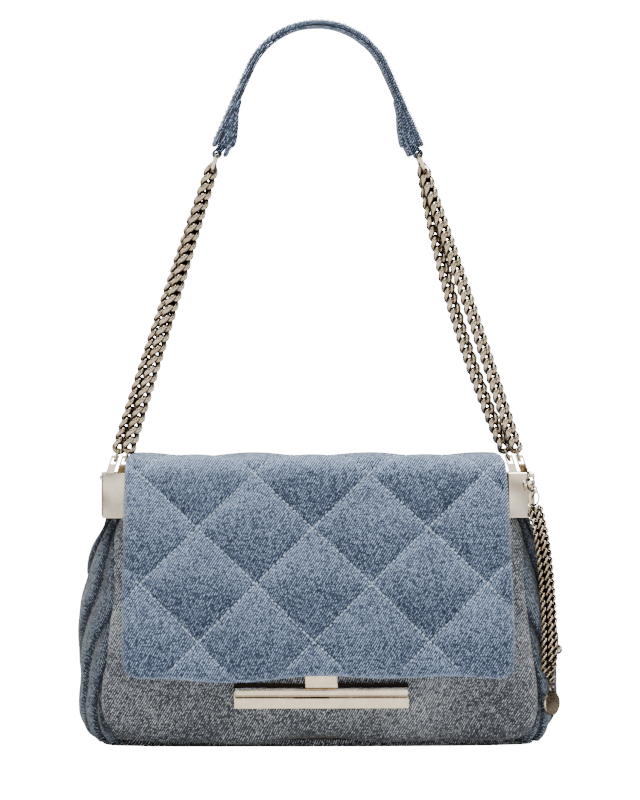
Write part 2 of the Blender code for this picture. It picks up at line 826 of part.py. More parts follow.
def link_mesh(cutters):
    """One link's mesh, with its wire flattened across the chain as a cut curb link is."""
    link = wire("link_pattern", link_points(), CHAIN_WIRE, cutters, closed=True)
    link = baked(link, cutters)
    link.data.transform(Matrix.Diagonal((1, CHAIN_FLAT_SHARE, 1, 1)))
    link.hide_render = True
    link.display_type = "WIRE"
    return link.data


def jump_mesh(cutters):
    """The small oval ring between a connector and its chain, standing across the links."""
    points = []
    for i in range(CHAIN_POINTS):
        turn = 2 * math.pi * i / CHAIN_POINTS
        c, s = math.cos(turn), math.sin(turn)
        across = math.copysign(abs(s) ** JUMP_SQUARENESS, s) * JUMP_WIDTH / 2
        points.append((0, across, math.copysign(abs(c) ** JUMP_SQUARENESS, c) * JUMP_LENGTH / 2))
    ring = baked(wire("jump_pattern", points, JUMP_WIRE, cutters, closed=True), cutters)
    ring.hide_render = True
    ring.display_type = "WIRE"
    return ring.data


def frame_at(point, direction):
    """A placing matrix whose Z runs along the chain and whose Y faces the rear."""
    up = direction.normalized()
    side = Vector((0, 1, 0)).cross(up).normalized()
    back = up.cross(side)
    return Matrix.Translation(point) @ Matrix((side, back, up)).transposed().to_4x4()


def make_chain(label, side, front, link, jump, group, cutters):
    """A run of curb links from its end ring to the ring on the pad, each in the next."""
    _, start, top, _ = chain_ends(side, front)
    bow = -CHAIN_SLACK if side > 0 and not front else 0.0

    def path(t):
        point = start.lerp(top, t)
        point.x += 4 * bow * t * (1 - t)
        return point

    steps = 200
    length = sum((path((i + 1) / steps) - path(i / steps)).length for i in range(steps))
    above = RING_WIRE + CHAIN_TOP_PLAY + CHAIN_WIRE
    half_link = (CHAIN_PITCH + 2 * CHAIN_WIRE) / 2
    first = CONNECTOR_BAR / 2 + GAP + CHAIN_WIRE + half_link
    last = length + above - half_link
    count = round((last - first) / CHAIN_PITCH) + 1
    pitch = (last - first) / (count - 1)

    def placed(at):
        t = at / length
        nudge = 1 / steps
        return frame_at(path(t), path(t + nudge) - path(t - nudge))

    odd, even = bmesh.new(), bmesh.new()
    for i in range(count):
        target = odd if i % 2 == 0 else even
        part = link.copy()
        part.transform(placed(first + i * pitch))
        target.from_mesh(part)
        bpy.data.meshes.remove(part)
    part = jump.copy()
    part.transform(placed((JUMP_ABOVE - JUMP_BELOW) / 2))
    even.from_mesh(part)
    bpy.data.meshes.remove(part)
    chain = mesh_object("chain_" + label, odd, group)
    others = mesh_object("chain_others_" + label, even, cutters)
    cut(chain, others, "UNION")
    metal(chain)
    print("chain", label, "links", count, "pitch", round(pitch * 1000, 3), "mm")


def ring_head(side):
    """The ring's upper bar."""
    rise = math.sqrt(RING_HEIGHT ** 2 - RING_LEAN ** 2)
    return Vector((side * (RING_FOOT_X - RING_LEAN), 0, RING_FOOT_Z + rise))


def make_ring(label, side, group):
    """A rounded oblong ring that stands across the chain and leans with it."""
    foot = Vector((side * RING_FOOT_X, 0, RING_FOOT_Z))
    up = ring_head(side) - foot
    half = up.length / 2
    rise, reach = half - RING_CORNER, RING_SPAN / 2 - RING_CORNER
    centre = foot + up / 2
    up.normalize()
    points = []
    for corner, (sy, sz) in enumerate(((1, 1), (-1, 1), (-1, -1), (1, -1))):
        for i in range(RING_CORNER_STEPS + 1):
            turn = math.pi / 2 * (corner + i / RING_CORNER_STEPS)
            across = sy * reach + RING_CORNER * math.cos(turn)
            along_up = sz * rise + RING_CORNER * math.sin(turn)
            points.append(centre + Vector((0, across, 0)) + up * along_up)
    ring = wire("ring_" + label, points, RING_WIRE, group, closed=True, resolution=2)
    metal(ring)


def leg_frame(side):
    """The leg's foot on the pad's outer face, its direction down and its inward normal."""
    crown = Vector((0, 0, PAD_TOP - PAD_CROWN_RADIUS))
    turn = Vector((math.cos(PAD_SPLAY), 0, math.sin(PAD_SPLAY)))
    tangent = crown + turn * PAD_CROWN_RADIUS
    down = Vector((math.sin(PAD_SPLAY), 0, -math.cos(PAD_SPLAY)))
    length = (tangent.z - PAD_END_Z) / math.cos(PAD_SPLAY)
    return tangent, down, -turn, length


def make_pad(group):
    """The denim shoulder pad, seen edge on: an arch on two splayed legs whose ends fold
    back on themselves and leave a slot for the ring's tab."""
    tangent, down, inward, length = leg_frame(1)
    crown = Vector((0, 0, PAD_TOP - PAD_CROWN_RADIUS))
    tab_slot = TAB_THICKNESS + 2 * GAP

    def arc(radius):
        points = []
        for i in range(PAD_ARC_STEPS + 1):
            turn = math.pi / 2 + (PAD_SPLAY - math.pi / 2) * i / PAD_ARC_STEPS
            points.append(crown + Vector((math.cos(turn), 0, math.sin(turn))) * radius)
        return points

    def spot(far, deep):
        return tangent + down * far + inward * deep

    prong = PAD_OUTER_PRONG
    leg = [
        spot(length, 0),
        spot(length, prong),
        spot(length - SLOT_DEPTH, prong),
        spot(length - SLOT_DEPTH, prong + tab_slot),
        spot(length - prong, prong + tab_slot),
        spot(length - prong, PAD_END_THICKNESS),
        spot(length - PAD_FOLD_LENGTH, PAD_END_THICKNESS),
        spot(length - PAD_FOLD_LENGTH - PAD_FOLD_TAPER, PAD_THICKNESS),
    ]
    right = arc(PAD_CROWN_RADIUS) + leg
    right += list(reversed(arc(PAD_CROWN_RADIUS - PAD_THICKNESS)))
    outline = [(p.x, p.z) for p in right]
    outline += [(-p.x, p.z) for p in reversed(right[1:-1])]
    pad = plate("shoulder_pad", [outline], PAD_WIDTH, group)
    bevel(pad, PAD_EDGE, 1)
    denim(pad, DENIM_MID)


def make_tab(label, side, group, cutters):
    """The narrow denim tab that goes round the ring and up into the pad's slot."""
    tangent, down, inward, length = leg_frame(1)
    head = ring_head(1)
    eye = RING_WIRE + RUNNING_GAP
    mid = PAD_OUTER_PRONG + GAP + TAB_THICKNESS / 2
    top = tangent + down * (length - SLOT_DEPTH + GAP) + inward * mid
    foot = tangent + down * (length - SLOT_DEPTH / 4) + inward * mid
    half = inward * (TAB_THICKNESS / 2)
    low = Vector((TAB_THICKNESS / 2, 0, 0))
    points = [top - half, top + half, foot + half, head - low, head + low, foot - half]
    tab = plate("strap_tab_" + label, [[(side * p.x, p.z) for p in points]], TAB_WIDTH, group)
    centre = (side * head.x, 0, head.z)
    bulb = rod(
        "strap_tab_bulb_" + label, eye + TAB_WALL, TAB_WIDTH, centre, "Y", TAB_SIDES, cutters
    )
    cut(tab, bulb, "UNION")
    hole = rod(
        "strap_tab_eye_" + label, eye, TAB_WIDTH + 2 * OVERRUN, centre, "Y", TAB_SIDES, cutters
    )
    cut(tab, hole)
    return denim(tab, DENIM_MID)


# Flap

def front_depth(z):
    """How far the front panel's outer face stands forward at a height."""
    return BODY_DEPTH / 2 * along(BODY_ROWS + NECK_ROWS, z / BODY_HEIGHT)[0]


def flap_inner(z):
    """The Y of the flap's inner face at a height: it lies on the panel and leans to the fold."""
    fold_inner = FOLD_Y + FLAP_THICKNESS / 2
    lean_z = BODY_HEIGHT * BODY_ROWS[-1][0]
    on_panel = -(front_depth(min(z, lean_z)) + SOFT_GAP)
    if z <= lean_z:
        return on_panel
    t = (z - lean_z) / (FOLD_Z - lean_z)
    return on_panel + (fold_inner - on_panel) * t


def flap_rows():
    """Heights and half widths of the hanging flap, from its hem over the clasp to the fold."""
    hem = tab_plate_centre().z - TAB_PLATE_HEIGHT / 2 + TAB_LIP_HEIGHT
    lean_z = BODY_HEIGHT * BODY_ROWS[-1][0]
    rows = [(hem + (FOLD_Z - hem) * rise, share) for rise, share in HEM_SHARES]
    beside = BODY_ROWS[-len(HANGING_SHARES):]
    rows += [(row[0] * BODY_HEIGHT, share) for row, share in zip(beside, HANGING_SHARES)]
    rows += [(lean_z + (FOLD_Z - lean_z) * rise, share) for rise, share in LEANING_SHARES]
    return [(z, FLAP_WIDTH / 2 * share) for z, share in rows]


def flap_half(values):
    return values[2]


def hanging_rows():
    """The hanging flap's rows as (length, (y, z, half width)), the length from the crossing."""
    profile = [(flap_inner(z), z, half) for z, half in flap_rows()]
    return quilt_rows(profile, quilt_start(profile))


def flap_crown(u, z):
    """How far the flap's sides curl back to the bag."""
    lean_z = BODY_HEIGHT * BODY_ROWS[-1][0]
    return FLAP_CROWN * u ** 4 * min(1.0, (FOLD_Z - z) / (FOLD_Z - lean_z))


def make_flap_front(group, cutters):
    """The hanging front of the flap, with a shallow seat behind for the clasp's tab."""

    def place(x, values):
        y, z, half = values
        return Vector((x, y + flap_crown(x / half, z), z))

    rows = hanging_rows()
    held = pressed_at((FOLD_Y, FOLD_Z))
    flap = quilted("flap_front", rows, flap_half, place, FLAP_THICKNESS, group, held)
    seat = box(
        "flap_tab_seat",
        (TAB_PLATE_WIDTH + 2 * GAP, TAB_PLATE_THICKNESS + 2 * GAP + SOFT_GAP, TAB_PLATE_HEIGHT),
        tab_plate_centre() + Vector((0, SOFT_GAP / 2, GAP)),
        cutters,
    )
    cut(flap, seat)
    denim(flap, DENIM_MID)


def make_flap_facing(group, cutters):
    """The thin denim facing under the hanging flap."""
    rows = flap_rows()[1:-3]

    def place(u, row):
        z, half = rows[row]
        y = flap_inner(z) + flap_crown(u, z) + GAP
        return Vector((u * (half - FACING_INSET), y, z))

    facing = sheet("flap_facing", FACING_COLUMNS, len(rows), place, group)
    thicken(facing, FACING_THICKNESS, (0, 1, 0))
    notch = box(
        "facing_notch",
        (TAB_PLATE_WIDTH + 2 * GAP, 2 * FLAP_THICKNESS, TAB_PLATE_HEIGHT),
        tab_plate_centre() + Vector((0, 0, GAP)),
        cutters,
    )
    cut(facing, notch)
    denim(facing, DENIM_GREY)


def make_flap_top(group):
    """The flap over the mouth, down the rear panel to where it is sewn on."""
    half = FLAP_THICKNESS / 2
    rise = FOLD_Z + TOP_RISE
    rear = front_depth(BODY_HEIGHT) + half + GAP + SOFT_GAP / 2
    tail_z = BODY_HEIGHT - TAIL_DROP + half
    tail = front_depth(tail_z) + half + GAP
    mid_z = (BODY_HEIGHT + tail_z) / 2
    middle = front_depth(mid_z) + half + SOFT_GAP / 2 + GAP
    line = [
        (FOLD_Y + FOLD_GAP, FOLD_Z),
        (FOLD_Y / 3, rise),
        (-FOLD_Y / 3, rise),
        (rear - half, FOLD_Z - half / 2),
        (rear + half / 3, BODY_HEIGHT + half / 2),
        (middle, mid_z),
        (tail, tail_z),
    ]
    fold_half = FLAP_WIDTH / 2 * LEANING_SHARES[-1][1]
    tail_half = FLAP_WIDTH / 2 * TAIL_WIDTH_SHARE
    profile = []
    for i, (y, z) in enumerate(line):
        t = i / (len(line) - 1)
        profile.append((y, z, fold_half + (tail_half - fold_half) * t * t))

    def place(x, values):
        return Vector((x, *values[:2]))

    rows = quilt_rows(profile, hanging_rows()[-1][0] + FOLD_GAP)
    held = pressed_at(line[0], line[4], line[-1])
    flap = quilted("flap_top", rows, flap_half, place, FLAP_THICKNESS, group, held, 0.0)
    denim(flap, DENIM_MID)


# Clasp

def clasp_back_y():
    """The back of the clasp's plate, just in front of the panel."""
    return -(BODY_DEPTH / 2 + GAP)


def bar_centre():
    y = clasp_back_y() - PLATE_THICKNESS - RUNNING_GAP - BAR_RADIUS
    return Vector((0, y, RAIL_FOOT_Z + RAIL_HEIGHT + RUNNING_GAP + BAR_RADIUS))


def tab_plate_centre():
    """The clasp's tab: behind the flap's lower edge, its foot just over the bar."""
    z = bar_centre().z + BAR_RADIUS + RUNNING_GAP + TAB_PLATE_HEIGHT / 2
    y = clasp_back_y() - PLATE_THICKNESS - RUNNING_GAP - TAB_PLATE_THICKNESS / 2
    return Vector((0, y, z))


def make_clasp(group, cutters):
    """The rail and its back plate on the panel, the round bar that rests on it, the tab
    that carries the bar, and the magnets and backing inside."""
    back = clasp_back_y()
    rail = box(
        "clasp_rail",
        (BAR_LENGTH + 2 * CLASP_EDGE, PLATE_THICKNESS, PLATE_HEIGHT),
        (0, back - PLATE_THICKNESS / 2, RAIL_FOOT_Z + PLATE_HEIGHT / 2),
        group,
    )
    shelf_depth = RAIL_DEPTH + PLATE_THICKNESS / 2
    shelf = box(
        "clasp_shelf",
        (BAR_LENGTH + 2 * CLASP_EDGE, shelf_depth, RAIL_HEIGHT),
        (0, back - PLATE_THICKNESS / 2 - shelf_depth / 2, RAIL_FOOT_Z + RAIL_HEIGHT / 2),
        cutters,
    )
    cut(rail, shelf, "UNION")
    metal(rail)
    bar = rod(
        "clasp_bar", BAR_RADIUS, BAR_LENGTH, bar_centre(), "X", BAR_SIDES, group
    )
    bevel(bar, BAR_EDGE, 1)
    metal(bar)
    tab = box(
        "clasp_tab",
        (TAB_PLATE_WIDTH, TAB_PLATE_THICKNESS, TAB_PLATE_HEIGHT),
        tab_plate_centre(),
        group,
    )
    lip = box(
        "clasp_tab_lip",
        (TAB_PLATE_WIDTH, 2 * BAR_RADIUS, TAB_LIP_HEIGHT),
        (0, bar_centre().y, bar_centre().z + BAR_RADIUS + TAB_LIP_HEIGHT / 2),
        cutters,
    )
    seat = rod(
        "clasp_tab_seat", BAR_RADIUS + RUNNING_GAP, BAR_LENGTH, bar_centre(), "X",
        2 * BAR_SIDES, cutters,
    )
    cut(tab, lip, "UNION")
    cut(tab, seat)
    metal(tab)

    panel = bpy.data.objects["front_panel"]
    magnet_z = RAIL_FOOT_Z + PLATE_HEIGHT / 2
    inner = -(front_depth(magnet_z) - PADDING)
    for label, side in (("left", -1), ("right", 1)):
        x = side * MAGNET_SPACING / 2
        magnet = rod(
            "magnet_" + label, MAGNET_RADIUS, MAGNET_THICKNESS,
            (x, back + GAP + MAGNET_THICKNESS / 2, magnet_z), "Y", MAGNET_SIDES, group,
        )
        magnet.data.materials.append(
            surface_material("magnet_" + label, (0.3, 0.3, 0.32), 0.35, 1.0)
        )
        pocket = rod(
            "magnet_pocket_" + label, MAGNET_RADIUS + RUNNING_GAP,
            MAGNET_THICKNESS + 2 * GAP + OVERRUN,
            (x, back + (MAGNET_THICKNESS + 2 * GAP - OVERRUN) / 2, magnet_z), "Y",
            MAGNET_SIDES, cutters,
        )
        cut(panel, pocket)
    size = (MAGNET_SPACING + 4 * MAGNET_RADIUS, BACKING_THICKNESS, BACKING_HEIGHT)
    backing_y = inner - BACKING_THICKNESS / 2 - GAP
    backing = box("clasp_backing", size, (0, backing_y, magnet_z), group)
    metal(backing)
    room = box(
        "clasp_backing_room",
        (size[0] + 2 * GAP, BACKING_THICKNESS + 2 * GAP + OVERRUN, size[2] + 2 * GAP),
        (0, backing_y + OVERRUN / 2, magnet_z),
        cutters,
    )
    cut(panel, room)


# Charm

def eye_centre():
    """The centre of the hook's loop, round the rim between the cap's eye and its top."""
    z = CAP_TOP_Z - EYE_BELOW_TOP + HOOK_RADIUS
    return Vector((CAP_OUTER - EYE_FROM_CAP_EDGE, cap_face_y(z) + CAP_WALL / 2, z))


def charm_axes():
    """Along the charm's ring and out from the bag's corner, both level."""
    along_ring = Vector((math.cos(CHARM_RING_TURN), math.sin(CHARM_RING_TURN), 0))
    outward = Vector((math.sin(CHARM_RING_TURN), -math.cos(CHARM_RING_TURN), 0))
    return along_ring, outward


def claw_start():
    return eye_centre() + Vector((0, -math.sin(CLAW_TURN), -math.cos(CLAW_TURN))) * HOOK_RADIUS


CLAW_DOWN = Vector((math.tan(CLAW_SIDE_LEAN), -math.tan(CLAW_LEAN), -1)).normalized()


def lug_centre():
    return claw_start() + CLAW_DOWN * (CLAW_LENGTH + LUG_RADIUS)


def charm_ring_centre():
    return lug_centre() + Vector((0, 0, -CHARM_RING_RADIUS))


def strand_spot(z, along_offset, out_offset):
    """The centre of a tassel strand at a height: the tassel lies on the bag's corner."""
    along_ring, outward = charm_axes()
    top = charm_ring_centre()
    rows = [(top.z - CHARM_RING_RADIUS, top.x, top.y)]
    for height, side, front in TASSEL_SHARES:
        rows.append((height * BODY_HEIGHT, side * BODY_WIDTH / 2, -front * BODY_DEPTH / 2))
    x, y = along(list(reversed(rows)), z)
    return Vector((x, y, z)) + along_ring * along_offset + outward * out_offset


def strand_foot(index):
    return STRAND_FOOT_Z + STRAND_STEP_Z * index


def make_strand(index, along_offset, out_offset, group):
    """One fine chain of the tassel, as a slender round strand with a slight wave."""
    top = charm_ring_centre()
    if out_offset:
        start_z = top.z - CHARM_RING_RADIUS
        along_top = along_offset
    else:
        along_top = along_offset * STRAND_GATHER_SHARE
        drop = math.sqrt(CHARM_RING_RADIUS ** 2 - along_top ** 2)
        start_z = top.z - drop - CHARM_RING_WIRE - STRAND_RADIUS * abs(along_top) / drop - GAP
    points = []
    for i in range(STRAND_STEPS):
        t = i / (STRAND_STEPS - 1)
        z = start_z + (strand_foot(index) - start_z) * t
        spread = along_top + (along_offset - along_top) * min(1.0, 3 * t)
        wave = STRAND_WAVE * math.sin(2 * math.pi * t * 2)
        points.append(strand_spot(z, spread + wave, out_offset))
    name = "tassel_strand_" + str(index + 1)
    metal(baked(wire(name, points, STRAND_RADIUS, group, resolution=1), group))


def ring_loop(centre, first, second, radius, sides):
    """Points round a circle in the plane of two directions."""
    points = []
    for i in range(sides):
        turn = 2 * math.pi * i / sides
        points.append(centre + (first * math.cos(turn) + second * math.sin(turn)) * radius)
    return points


def make_hook(group, cutters):
    """A snap hook: its loop through the cap's eye, its claw, its lug and its lever."""
    y_axis, z_axis = Vector((0, 1, 0)), Vector((0, 0, 1))
    along_ring, _ = charm_axes()
    loop = ring_loop(eye_centre(), y_axis, z_axis, HOOK_RADIUS, HOOK_STEPS)
    hook = baked(
        wire("charm_hook", loop, HOOK_WIRE, group, closed=True, resolution=1), group
    )
    claw = bmesh.new()
    bmesh.ops.create_uvsphere(claw, u_segments=10, v_segments=6, radius=1.0)
    size = Vector((CLAW_WIDTH / 2, CLAW_THICKNESS / 2, CLAW_LENGTH / 2))
    bmesh.ops.scale(claw, vec=size, verts=claw.verts)
    turn = (-z_axis).rotation_difference(CLAW_DOWN).to_matrix().to_4x4()
    bmesh.ops.transform(claw, matrix=turn, verts=claw.verts)
    claw_centre = claw_start() + CLAW_DOWN * (CLAW_LENGTH / 2)
    bmesh.ops.translate(claw, vec=claw_centre, verts=claw.verts)
    cut(hook, mesh_object("charm_claw", claw, cutters), "UNION")
    sideways = along_ring.cross(CLAW_DOWN).normalized()
    lug = ring_loop(lug_centre(), sideways, CLAW_DOWN, LUG_RADIUS, CHAIN_POINTS)
    lug_ring = wire("charm_lug", lug, LUG_WIRE, cutters, closed=True)
    cut(hook, baked(lug_ring, cutters), "UNION")
    metal(hook)

    reach = (LEVER_LENGTH - LEVER_WIDTH) / 2
    outline = []
    for i in range(LEVER_SIDES):
        around = 2 * math.pi * (i + 1 / 2) / LEVER_SIDES
        outline.append((
            LEVER_WIDTH / 2 * math.cos(around),
            LEVER_WIDTH / 2 * math.sin(around) + math.copysign(reach, math.sin(around)),
        ))
    lever = plate("charm_lever", [outline], LEVER_THICKNESS, group)
    flat = Matrix.Rotation(math.pi / 2, 4, "Z") @ lever.matrix_world
    lever.data.transform(turn @ flat)
    lever.matrix_world = Matrix.Identity(4)
    beside = turn @ Vector((CLAW_WIDTH / 2 + GAP + LEVER_THICKNESS / 2, 0, 0))
    lever.location = claw_centre - beside
    metal(lever)


def make_tassel(group, cutters):
    """The charm's ring and its five fine chains."""
    along_ring, _ = charm_axes()
    loop = ring_loop(
        charm_ring_centre(), along_ring, Vector((0, 0, 1)), CHARM_RING_RADIUS, 2 * CHAIN_POINTS
    )
    metal(wire("charm_ring", loop, CHARM_RING_WIRE, group, closed=True))
    places = [(1, 0), (0, 0), (-1, 0), (0.5, 1), (-0.5, 1)]
    for index, (across, out) in enumerate(places):
        make_strand(index, across * STRAND_PITCH, out * STRAND_ROW, group)


def make_drops(group, cutters):
    """The small ball beside the tassel and the plain disc below it."""
    along_ring, _ = charm_axes()
    z_axis = Vector((0, 0, 1))
    beside = strand_spot(BALL_HANG_Z, STRAND_PITCH, 0)
    beside += along_ring * (STRAND_RADIUS + BALL_RADIUS + GAP)
    shape = bmesh.new()
    bmesh.ops.create_uvsphere(shape, u_segments=12, v_segments=8, radius=BALL_RADIUS)
    centre = Vector((beside.x, beside.y, BALL_HANG_Z - BALL_DROP))
    bmesh.ops.translate(shape, vec=centre, verts=shape.verts)
    ball = mesh_object("charm_ball", shape, group)
    top = Vector((centre.x, centre.y, BALL_HANG_Z))
    arm = [centre, top, top - along_ring * BALL_RADIUS]
    stem = baked(wire("charm_ball_stem", arm, BALL_NECK, cutters, resolution=0), cutters)
    cut(ball, stem, "UNION")
    metal(ball)

    hang = strand_spot(strand_foot(0), STRAND_PITCH, 0)
    eye = Vector((hang.x, hang.y, strand_foot(0) - GAP - LINK_RADIUS - LINK_WIRE))
    disc_centre = eye - z_axis * (LINK_RADIUS + DISC_RADIUS)
    disc = rod("charm_disc", DISC_RADIUS, DISC_THICKNESS, (0, 0, 0), "Y", DISC_SIDES, group)
    bevel(disc, DISC_RIM / 2, 1)
    disc = baked(disc, group)
    disc.data.transform(Matrix.Rotation(CHARM_RING_TURN, 4, "Z"))
    disc.location = disc_centre
    link = wire(
        "charm_disc_eye", ring_loop(eye, along_ring, z_axis, LINK_RADIUS, CHAIN_POINTS),
        LINK_WIRE, cutters, closed=True,
    )
    cut(disc, baked(link, cutters), "UNION")
    metal(disc)


def build():
    clear_scene()
    bag = collection("denim_bag")
    cutters = collection("cutters")
    denim(make_panel("front_panel", -math.pi / 2, bag, clasp_flat), DENIM_GREY)
    rim_flat = pressed_at((front_depth(BODY_HEIGHT), BODY_HEIGHT))
    denim(make_panel("rear_panel", math.pi / 2, bag, rim_flat), DENIM_GREY)
    denim(make_gusset("gusset_left", -1, bag), DENIM_DARK)
    denim(make_gusset("gusset_right", 1, bag), DENIM_DARK)
    make_base(bag)
    make_lining(bag)
    make_inner_pocket(bag)
    link, jump = link_mesh(cutters), jump_mesh(cutters)
    for label, side in (("left", -1), ("right", 1)):
        make_cap(label, side, bag, cutters)
        make_ring(label, side, bag)
        make_tab(label, side, bag, cutters)
        for place, front in (("front", True), ("rear", False)):
            make_connector(label + "_" + place, side, front, bag, cutters)
            make_chain(label + "_" + place, side, front, link, jump, bag, cutters)
    make_pad(bag)
    make_flap_front(bag, cutters)
    make_flap_facing(bag, cutters)
    make_flap_top(bag)
    make_clasp(bag, cutters)
    make_hook(bag, cutters)
    make_tassel(bag, cutters)
    make_drops(bag, cutters)


build()
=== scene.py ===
"""The look of a quilted denim shoulder bag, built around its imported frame."""

import math

import bmesh
import bpy
import numpy as np
from bpy.props import FloatProperty, PointerProperty, StringProperty
from mathutils import Matrix, Vector, noise


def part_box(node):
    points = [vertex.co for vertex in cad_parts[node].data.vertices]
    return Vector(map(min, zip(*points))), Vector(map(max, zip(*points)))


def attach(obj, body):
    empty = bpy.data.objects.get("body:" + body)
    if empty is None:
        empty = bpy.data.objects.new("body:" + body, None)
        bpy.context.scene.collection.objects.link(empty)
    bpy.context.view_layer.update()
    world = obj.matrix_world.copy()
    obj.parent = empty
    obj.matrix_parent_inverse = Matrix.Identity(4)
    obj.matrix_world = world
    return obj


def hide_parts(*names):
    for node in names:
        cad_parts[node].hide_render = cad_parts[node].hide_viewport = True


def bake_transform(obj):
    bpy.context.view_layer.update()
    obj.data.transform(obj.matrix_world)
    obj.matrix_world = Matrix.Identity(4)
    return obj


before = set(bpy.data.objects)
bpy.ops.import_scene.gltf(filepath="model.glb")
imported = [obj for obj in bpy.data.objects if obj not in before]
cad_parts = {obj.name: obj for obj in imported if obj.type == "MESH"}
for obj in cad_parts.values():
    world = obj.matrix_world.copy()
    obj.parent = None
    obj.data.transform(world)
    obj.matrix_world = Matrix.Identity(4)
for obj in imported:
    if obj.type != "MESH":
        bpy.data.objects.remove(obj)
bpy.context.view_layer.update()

bl_info = {
    "name": "Quilted denim bag",
    "version": (1, 0, 0),
    "blender": (4, 5, 0),
    "location": "3D View > Sidebar > Bag",
    "description": "Quilted denim shoulder bag with chains and a tassel charm",
    "category": "Object",
}

MM = 0.001

# Ribs of the twill: their spacing and how steeply they rise to the right
RIB_PITCH = 1.15 * MM
RIB_RISE = math.radians(60)
# Puckers beside a stitch, and the slack of the cloth: the size of their features
PUCKER_SIZE, SLACK_SIZE, SLOUCH_SIZE = 6.5 * MM, 26 * MM, 42 * MM
# A stitch's length, its gap and the thread's radius
WALL_STITCH = (1.5 * MM, 1.2 * MM, 0.24 * MM)
FLAP_STITCH = (1.4 * MM, 1.4 * MM, 0.5 * MM)
PAD_STITCH = (2.2 * MM, 1.0 * MM, 0.25 * MM)
# The thickness of each padded cloth and the width of its rounded rim
WALL_PADDING, WALL_RIM = 4.6 * MM, 5.5 * MM
FLAP_PADDING, FLAP_RIM = 2.6 * MM, 1.8 * MM
GUSSET_PADDING, GUSSET_RIM = 3.0 * MM, 2.2 * MM
# The width that a wall's, the flap's and a gusset's columns are counted over, in mm
WALL_SPAN, FLAP_SPAN, GUSSET_SPAN = 240, 218, 92
# Where a gusset ends under its cap, and how high the walls slump at their foot, in mm
GUSSET_TOP, FOOT_HEIGHT = 128.5, 34
# The shoulder pad: half its width, the height of its folded ends, and the steps along its
# legs, its round top and its cut edge
PAD_HALF_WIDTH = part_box("shoulder_pad")[1].y
PAD_END = 333.0 * MM
LEG_STEPS, TOP_STEPS, EDGE_STEPS = 26, 34, 22
# Chain links: width, length, wire radius, steps, sides and how much is left of their depth
CHAIN_LINK = (8.4 * MM, 10.8 * MM, 1.72 * MM, 20, 8, 0.8)
TASSEL_LINK = (3.8 * MM, 4.2 * MM, 0.76 * MM, 12, 6, 0.9)
TASSEL_PITCH = 2.1 * MM
LINK_COUNTS = {"left_front": 28, "left_rear": 29, "right_front": 29, "right_rear": 28}
# The clasp rail's finish, painted near black above the bar's middle as painted shade, and words
# in the names of all polished CAD nodes
RAIL_FINISH = "gold_plating_painted_dark_above"
METAL_WORDS = ("cap", "pin", "connector", "ring", "clasp", "hook", "lever", "ball", "disc")

# The bag's section: height, half depth, half width and the seam's share of the width, in mm
BODY_TABLE = np.array((
    (0.6, 37.5, 122.0, 0.93),
    (4.6, 41.4, 126.0, 0.930),
    (16.0, 43.7, 132.0, 0.925),
    (34.0, 44.0, 133.5, 0.920),
    (51.0, 43.0, 133.5, 0.900),
    (69.0, 40.6, 133.0, 0.885),
    (85.4, 37.3, 131.2, 0.885),
    (103.8, 31.8, 127.9, 0.912),
    (123.7, 23.8, 118.6, 0.958),
    (138.5, 18.3, 117.5, 0.880),
    (149.0, 13.9, 117.5, 0.880),
))
BODY_POWER = 3.6
# The flap's outer profile from its hem over the top to its tail: y, z and half width, in mm
FLAP_TABLE = np.array((
    (-50.2, 38.2, 98.0),
    (-50.3, 40.6, 105.0),
    (-50.2, 45.0, 108.2),
    (-49.4, 53.0, 109.0),
    (-46.6, 69.0, 108.8),
    (-43.3, 85.0, 108.4),
    (-37.8, 104.0, 107.8),
    (-30.4, 123.0, 107.4),
    (-23.6, 139.0, 106.8),
    (-18.4, 151.0, 106.2),
    (-14.2, 157.2, 105.8),
    (-6.0, 159.4, 105.2),
    (4.0, 159.4, 103.6),
    (13.6, 157.4, 101.8),
    (19.6, 151.8, 101.0),
    (23.2, 140.5, 101.6),
    (27.4, 128.2, 102.0),
))


def bag_settings():
    return bpy.context.scene.denim_bag


def srgb(colour):
    """A hex colour as linear values."""
    values = []
    for i in (1, 3, 5):
        value = int(colour[i:i + 2], 16) / 255
        values.append(value / 12.92 if value <= 0.04045 else ((value + 0.055) / 1.055) ** 2.4)
    return (*values, 1.0)


def feed(tree, node, **inputs):
    """Sets a node's inputs, each to a value or to another node's output. An input is named,
    with _ for a space, or numbered after a _."""
    for key, value in inputs.items():
        name = key.replace("_", " ").strip()
        socket = node.inputs[int(name)] if name.isdigit() else node.inputs[name]
        if isinstance(value, bpy.types.NodeSocket):
            tree.links.new(value, socket)
        else:
            socket.default_value = value
    return node


def add_node(tree, kind, output=None, settings=None, **inputs):
    """A new shader node with its settings and inputs, or its output where one is given."""
    made = tree.nodes.new("ShaderNode" + kind)
    for key, value in (settings or {}).items():
        setattr(made, key, value)
    feed(tree, made, **inputs)
    return made if output is None else made.outputs[output]


def ramp(made, stops, smooth=False):
    """Sets a colour ramp's stops of (position, hex colour), and gives its colour."""
    made.color_ramp.interpolation = "EASE" if smooth else "LINEAR"
    while len(made.color_ramp.elements) < len(stops):
        made.color_ramp.elements.new(0.5)
    for element, (position, colour) in zip(made.color_ramp.elements, stops):
        element.position = position
        element.color = srgb(colour)
    return made.outputs["Color"]


def new_material(name):
    made = bpy.data.materials.new(name)
    made.use_nodes = True
    return made.node_tree, made.node_tree.nodes["Principled BSDF"]


